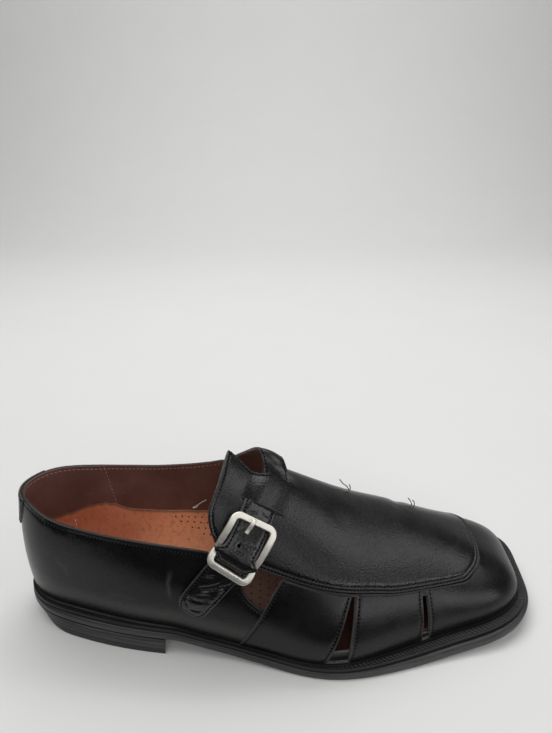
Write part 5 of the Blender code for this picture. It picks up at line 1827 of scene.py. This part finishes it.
def strand(places, width):
    """Loose thread along a few places."""
    line = through(places, 8 * len(places))
    up = np.broadcast_to(STRAND_UP, line.shape)
    return swept(line, path_side(line, up, False), up, width, width, False, 1.0, 6)


# Loose black threads on the far side of the apron, in millimetres
BLACK_THREADS = (
    ((41.7, 20.5, 69.6), (40.2, 21.2, 72.0), (38.2, 22.0, 73.2), (35.8, 22.8, 76.0)),
    ((41.7, 20.5, 69.6), (42.4, 20.8, 71.2), (41.6, 21.4, 73.4)),
    ((83.0, 26.0, 54.2), (82.0, 27.0, 56.6), (80.4, 27.6, 58.6)),
    ((84.2, 25.6, 53.8), (84.4, 26.4, 56.0), (83.2, 27.0, 57.4)),
)
# White thread ends on the medial lining: x of the feather, share of the section, lift off the lining
WHITE_THREADS = (
    (((-55.4, 0.202, 1.0), (-53.0, 0.218, 1.8), (-50.4, 0.236, 1.4), (-47.0, 0.256, 1.0)), 0.6),
    (((-56.0, 0.198, 1.0), (-54.4, 0.206, 1.8), (-52.6, 0.219, 1.5)), 1.1),
    (((-151.2, 0.232, 0.9), (-150.4, 0.226, 1.2), (-149.8, 0.229, 0.9)), 0.9),
)


def make_threads():
    black = [strand(places, 0.6) for places in BLACK_THREADS]
    make_piece("loose_threads", *joined(black), [BLACK_THREAD])
    white = []
    for rows, width in WHITE_THREADS:
        line = pattern("medial", [row[:2] for row in rows])
        place, up = on_lining(line)
        white.append(strand(place + up * np.array(rows)[:, 2:], width))
    make_piece("white_thread_ends", *joined(white), [WHITE_THREAD])


make_quarter()
make_strips()
make_apron()
make_backstay()
make_loop()
make_strap()
make_buckle()
make_prong()
make_welt()
make_outsole()
make_heel()
make_insole()
make_cup()
make_threads()
make_piece("lining_stitching", *joined(brown_stitches), [BROWN_THREAD])
make_piece("black_stitching", *joined(black_stitches), [BLACK_THREAD])
make_piece("needle_holes", *joined(needle_holes), [PIT_SHADE])


# Stage, in metres
FLOOR_HALF = 2.5
FLOOR_FRONT = -1.6
FLOOR_DEPTH = 1.1
COVE = 0.6
BACKDROP_HEIGHT = 2.4
FLAG = (-1.2, 1.2, -1.5, -0.085, 0.002)    # left, right, front, back, height
# Lamps: name, place, aim, size, power
LAMPS = (
    ("overhead_softbox", (-0.25, 0.28, 1.2), (-0.2, 0.23, 0.0), (1.9, 1.0), 11.0),
    ("front_softbox", (0.0, -0.85, 0.75), (0.0, -0.02, 0.05), (1.1, 0.5), 2.4),
    ("side_softbox", (0.98, -0.20, 0.92), (0.05, -0.02, 0.05), (0.95, 0.5), 2.9),
    ("low_front_card", (0.80, -0.76, 0.24), (0.1, -0.03, 0.03), (0.9, 0.32), 2.4),
    ("backdrop_light", (0.0, 0.75, 1.9), (0.0, 1.7, 0.6), (2.6, 0.5), 13.0),
)
SKY_COLOUR, SKY_STRENGTH = (0.95, 0.97, 1.0, 1.0), 0.08
# Camera: place in millimetres, degrees downwards, focal length in pixels, height of the picture
CAMERA_PLACE = (-3.1, -253.7, 269.7)
CAMERA_PITCH = 23.22
FOCAL_PIXELS = 540.0
PICTURE_HEIGHT = 733.0
SENSOR = 36.0


def make_stage():
    """Pale floor that curves up into a backdrop."""
    across = np.linspace(-FLOOR_HALF, FLOOR_HALF, 6)
    turn = np.linspace(0.0, np.pi / 2, 16)[1:]
    profile = [(FLOOR_FRONT, 0.0), (0.0, 0.0), (FLOOR_DEPTH, 0.0)]
    profile += [(FLOOR_DEPTH + COVE * np.sin(a), COVE * (1 - np.cos(a))) for a in turn]
    profile += [(FLOOR_DEPTH + COVE, BACKDROP_HEIGHT)]
    mesh = bpy.data.meshes.new("studio_floor")
    faces = grid_faces(len(profile), len(across)).tolist()
    mesh.from_pydata([(x, y, z) for y, z in profile for x in across], [], faces)
    mesh.shade_smooth()
    look = Look("studio_paper", (0.80, 0.80, 0.785), 0.85)
    look.tint(look.between(look.noise(9.0, 3.0), 0.35, 0.7, 0.0, 0.25), (0.76, 0.76, 0.745))
    look.relief(look.noise(700.0, 3.0), 0.05, 0.4)
    mesh.materials.append(look.material)
    floor = linked("studio_floor", mesh)


def make_flag():
    """Black card on the floor in front of the picture, which only reflections show."""
    left, right, front, back, height = FLAG
    corners = [(left, front, height), (right, front, height), (right, back, height), (left, back, height)]
    mesh = bpy.data.meshes.new("black_flag")
    mesh.from_pydata(corners, [], [(0, 1, 2, 3)])
    mesh.materials.append(Look("black_card", (0.004, 0.004, 0.004), 0.9, specular_ior_level=0.0).material)
    flag = linked("black_flag", mesh)
    flag.visible_camera = flag.visible_shadow = flag.visible_diffuse = False


def add_area(name, place, aim, size, power):
    lamp = bpy.data.lights.new(name, "AREA")
    lamp.shape = "RECTANGLE"
    lamp.size, lamp.size_y = size
    lamp.energy = power
    made = linked(name, lamp)
    made.location = place
    made.rotation_euler = (Vector(aim) - Vector(place)).to_track_quat("-Z", "Y").to_euler()
    made.visible_camera = False


def add_light():
    world = bpy.data.worlds.new("studio")
    world.use_nodes = True
    background = world.node_tree.nodes["Background"].inputs
    background["Color"].default_value = SKY_COLOUR
    background["Strength"].default_value = SKY_STRENGTH
    bpy.context.scene.world = world
    for lamp in LAMPS:
        add_area(*lamp)
    bpy.context.scene.view_settings.view_transform = "Standard"


def add_camera():
    """Camera of the photograph, with a wide lens."""
    lens = bpy.data.cameras.new("camera")
    lens.sensor_width = SENSOR
    lens.lens = SENSOR * FOCAL_PIXELS / PICTURE_HEIGHT
    lens.clip_start, lens.clip_end = 0.01, 20.0
    made = linked("camera", lens)
    made.location = Vector(CAMERA_PLACE) * MM
    made.rotation_euler = (np.radians(90.0 - CAMERA_PITCH), 0.0, 0.0)
    bpy.context.scene.camera = made


make_stage()
make_flag()
add_light()
add_camera()
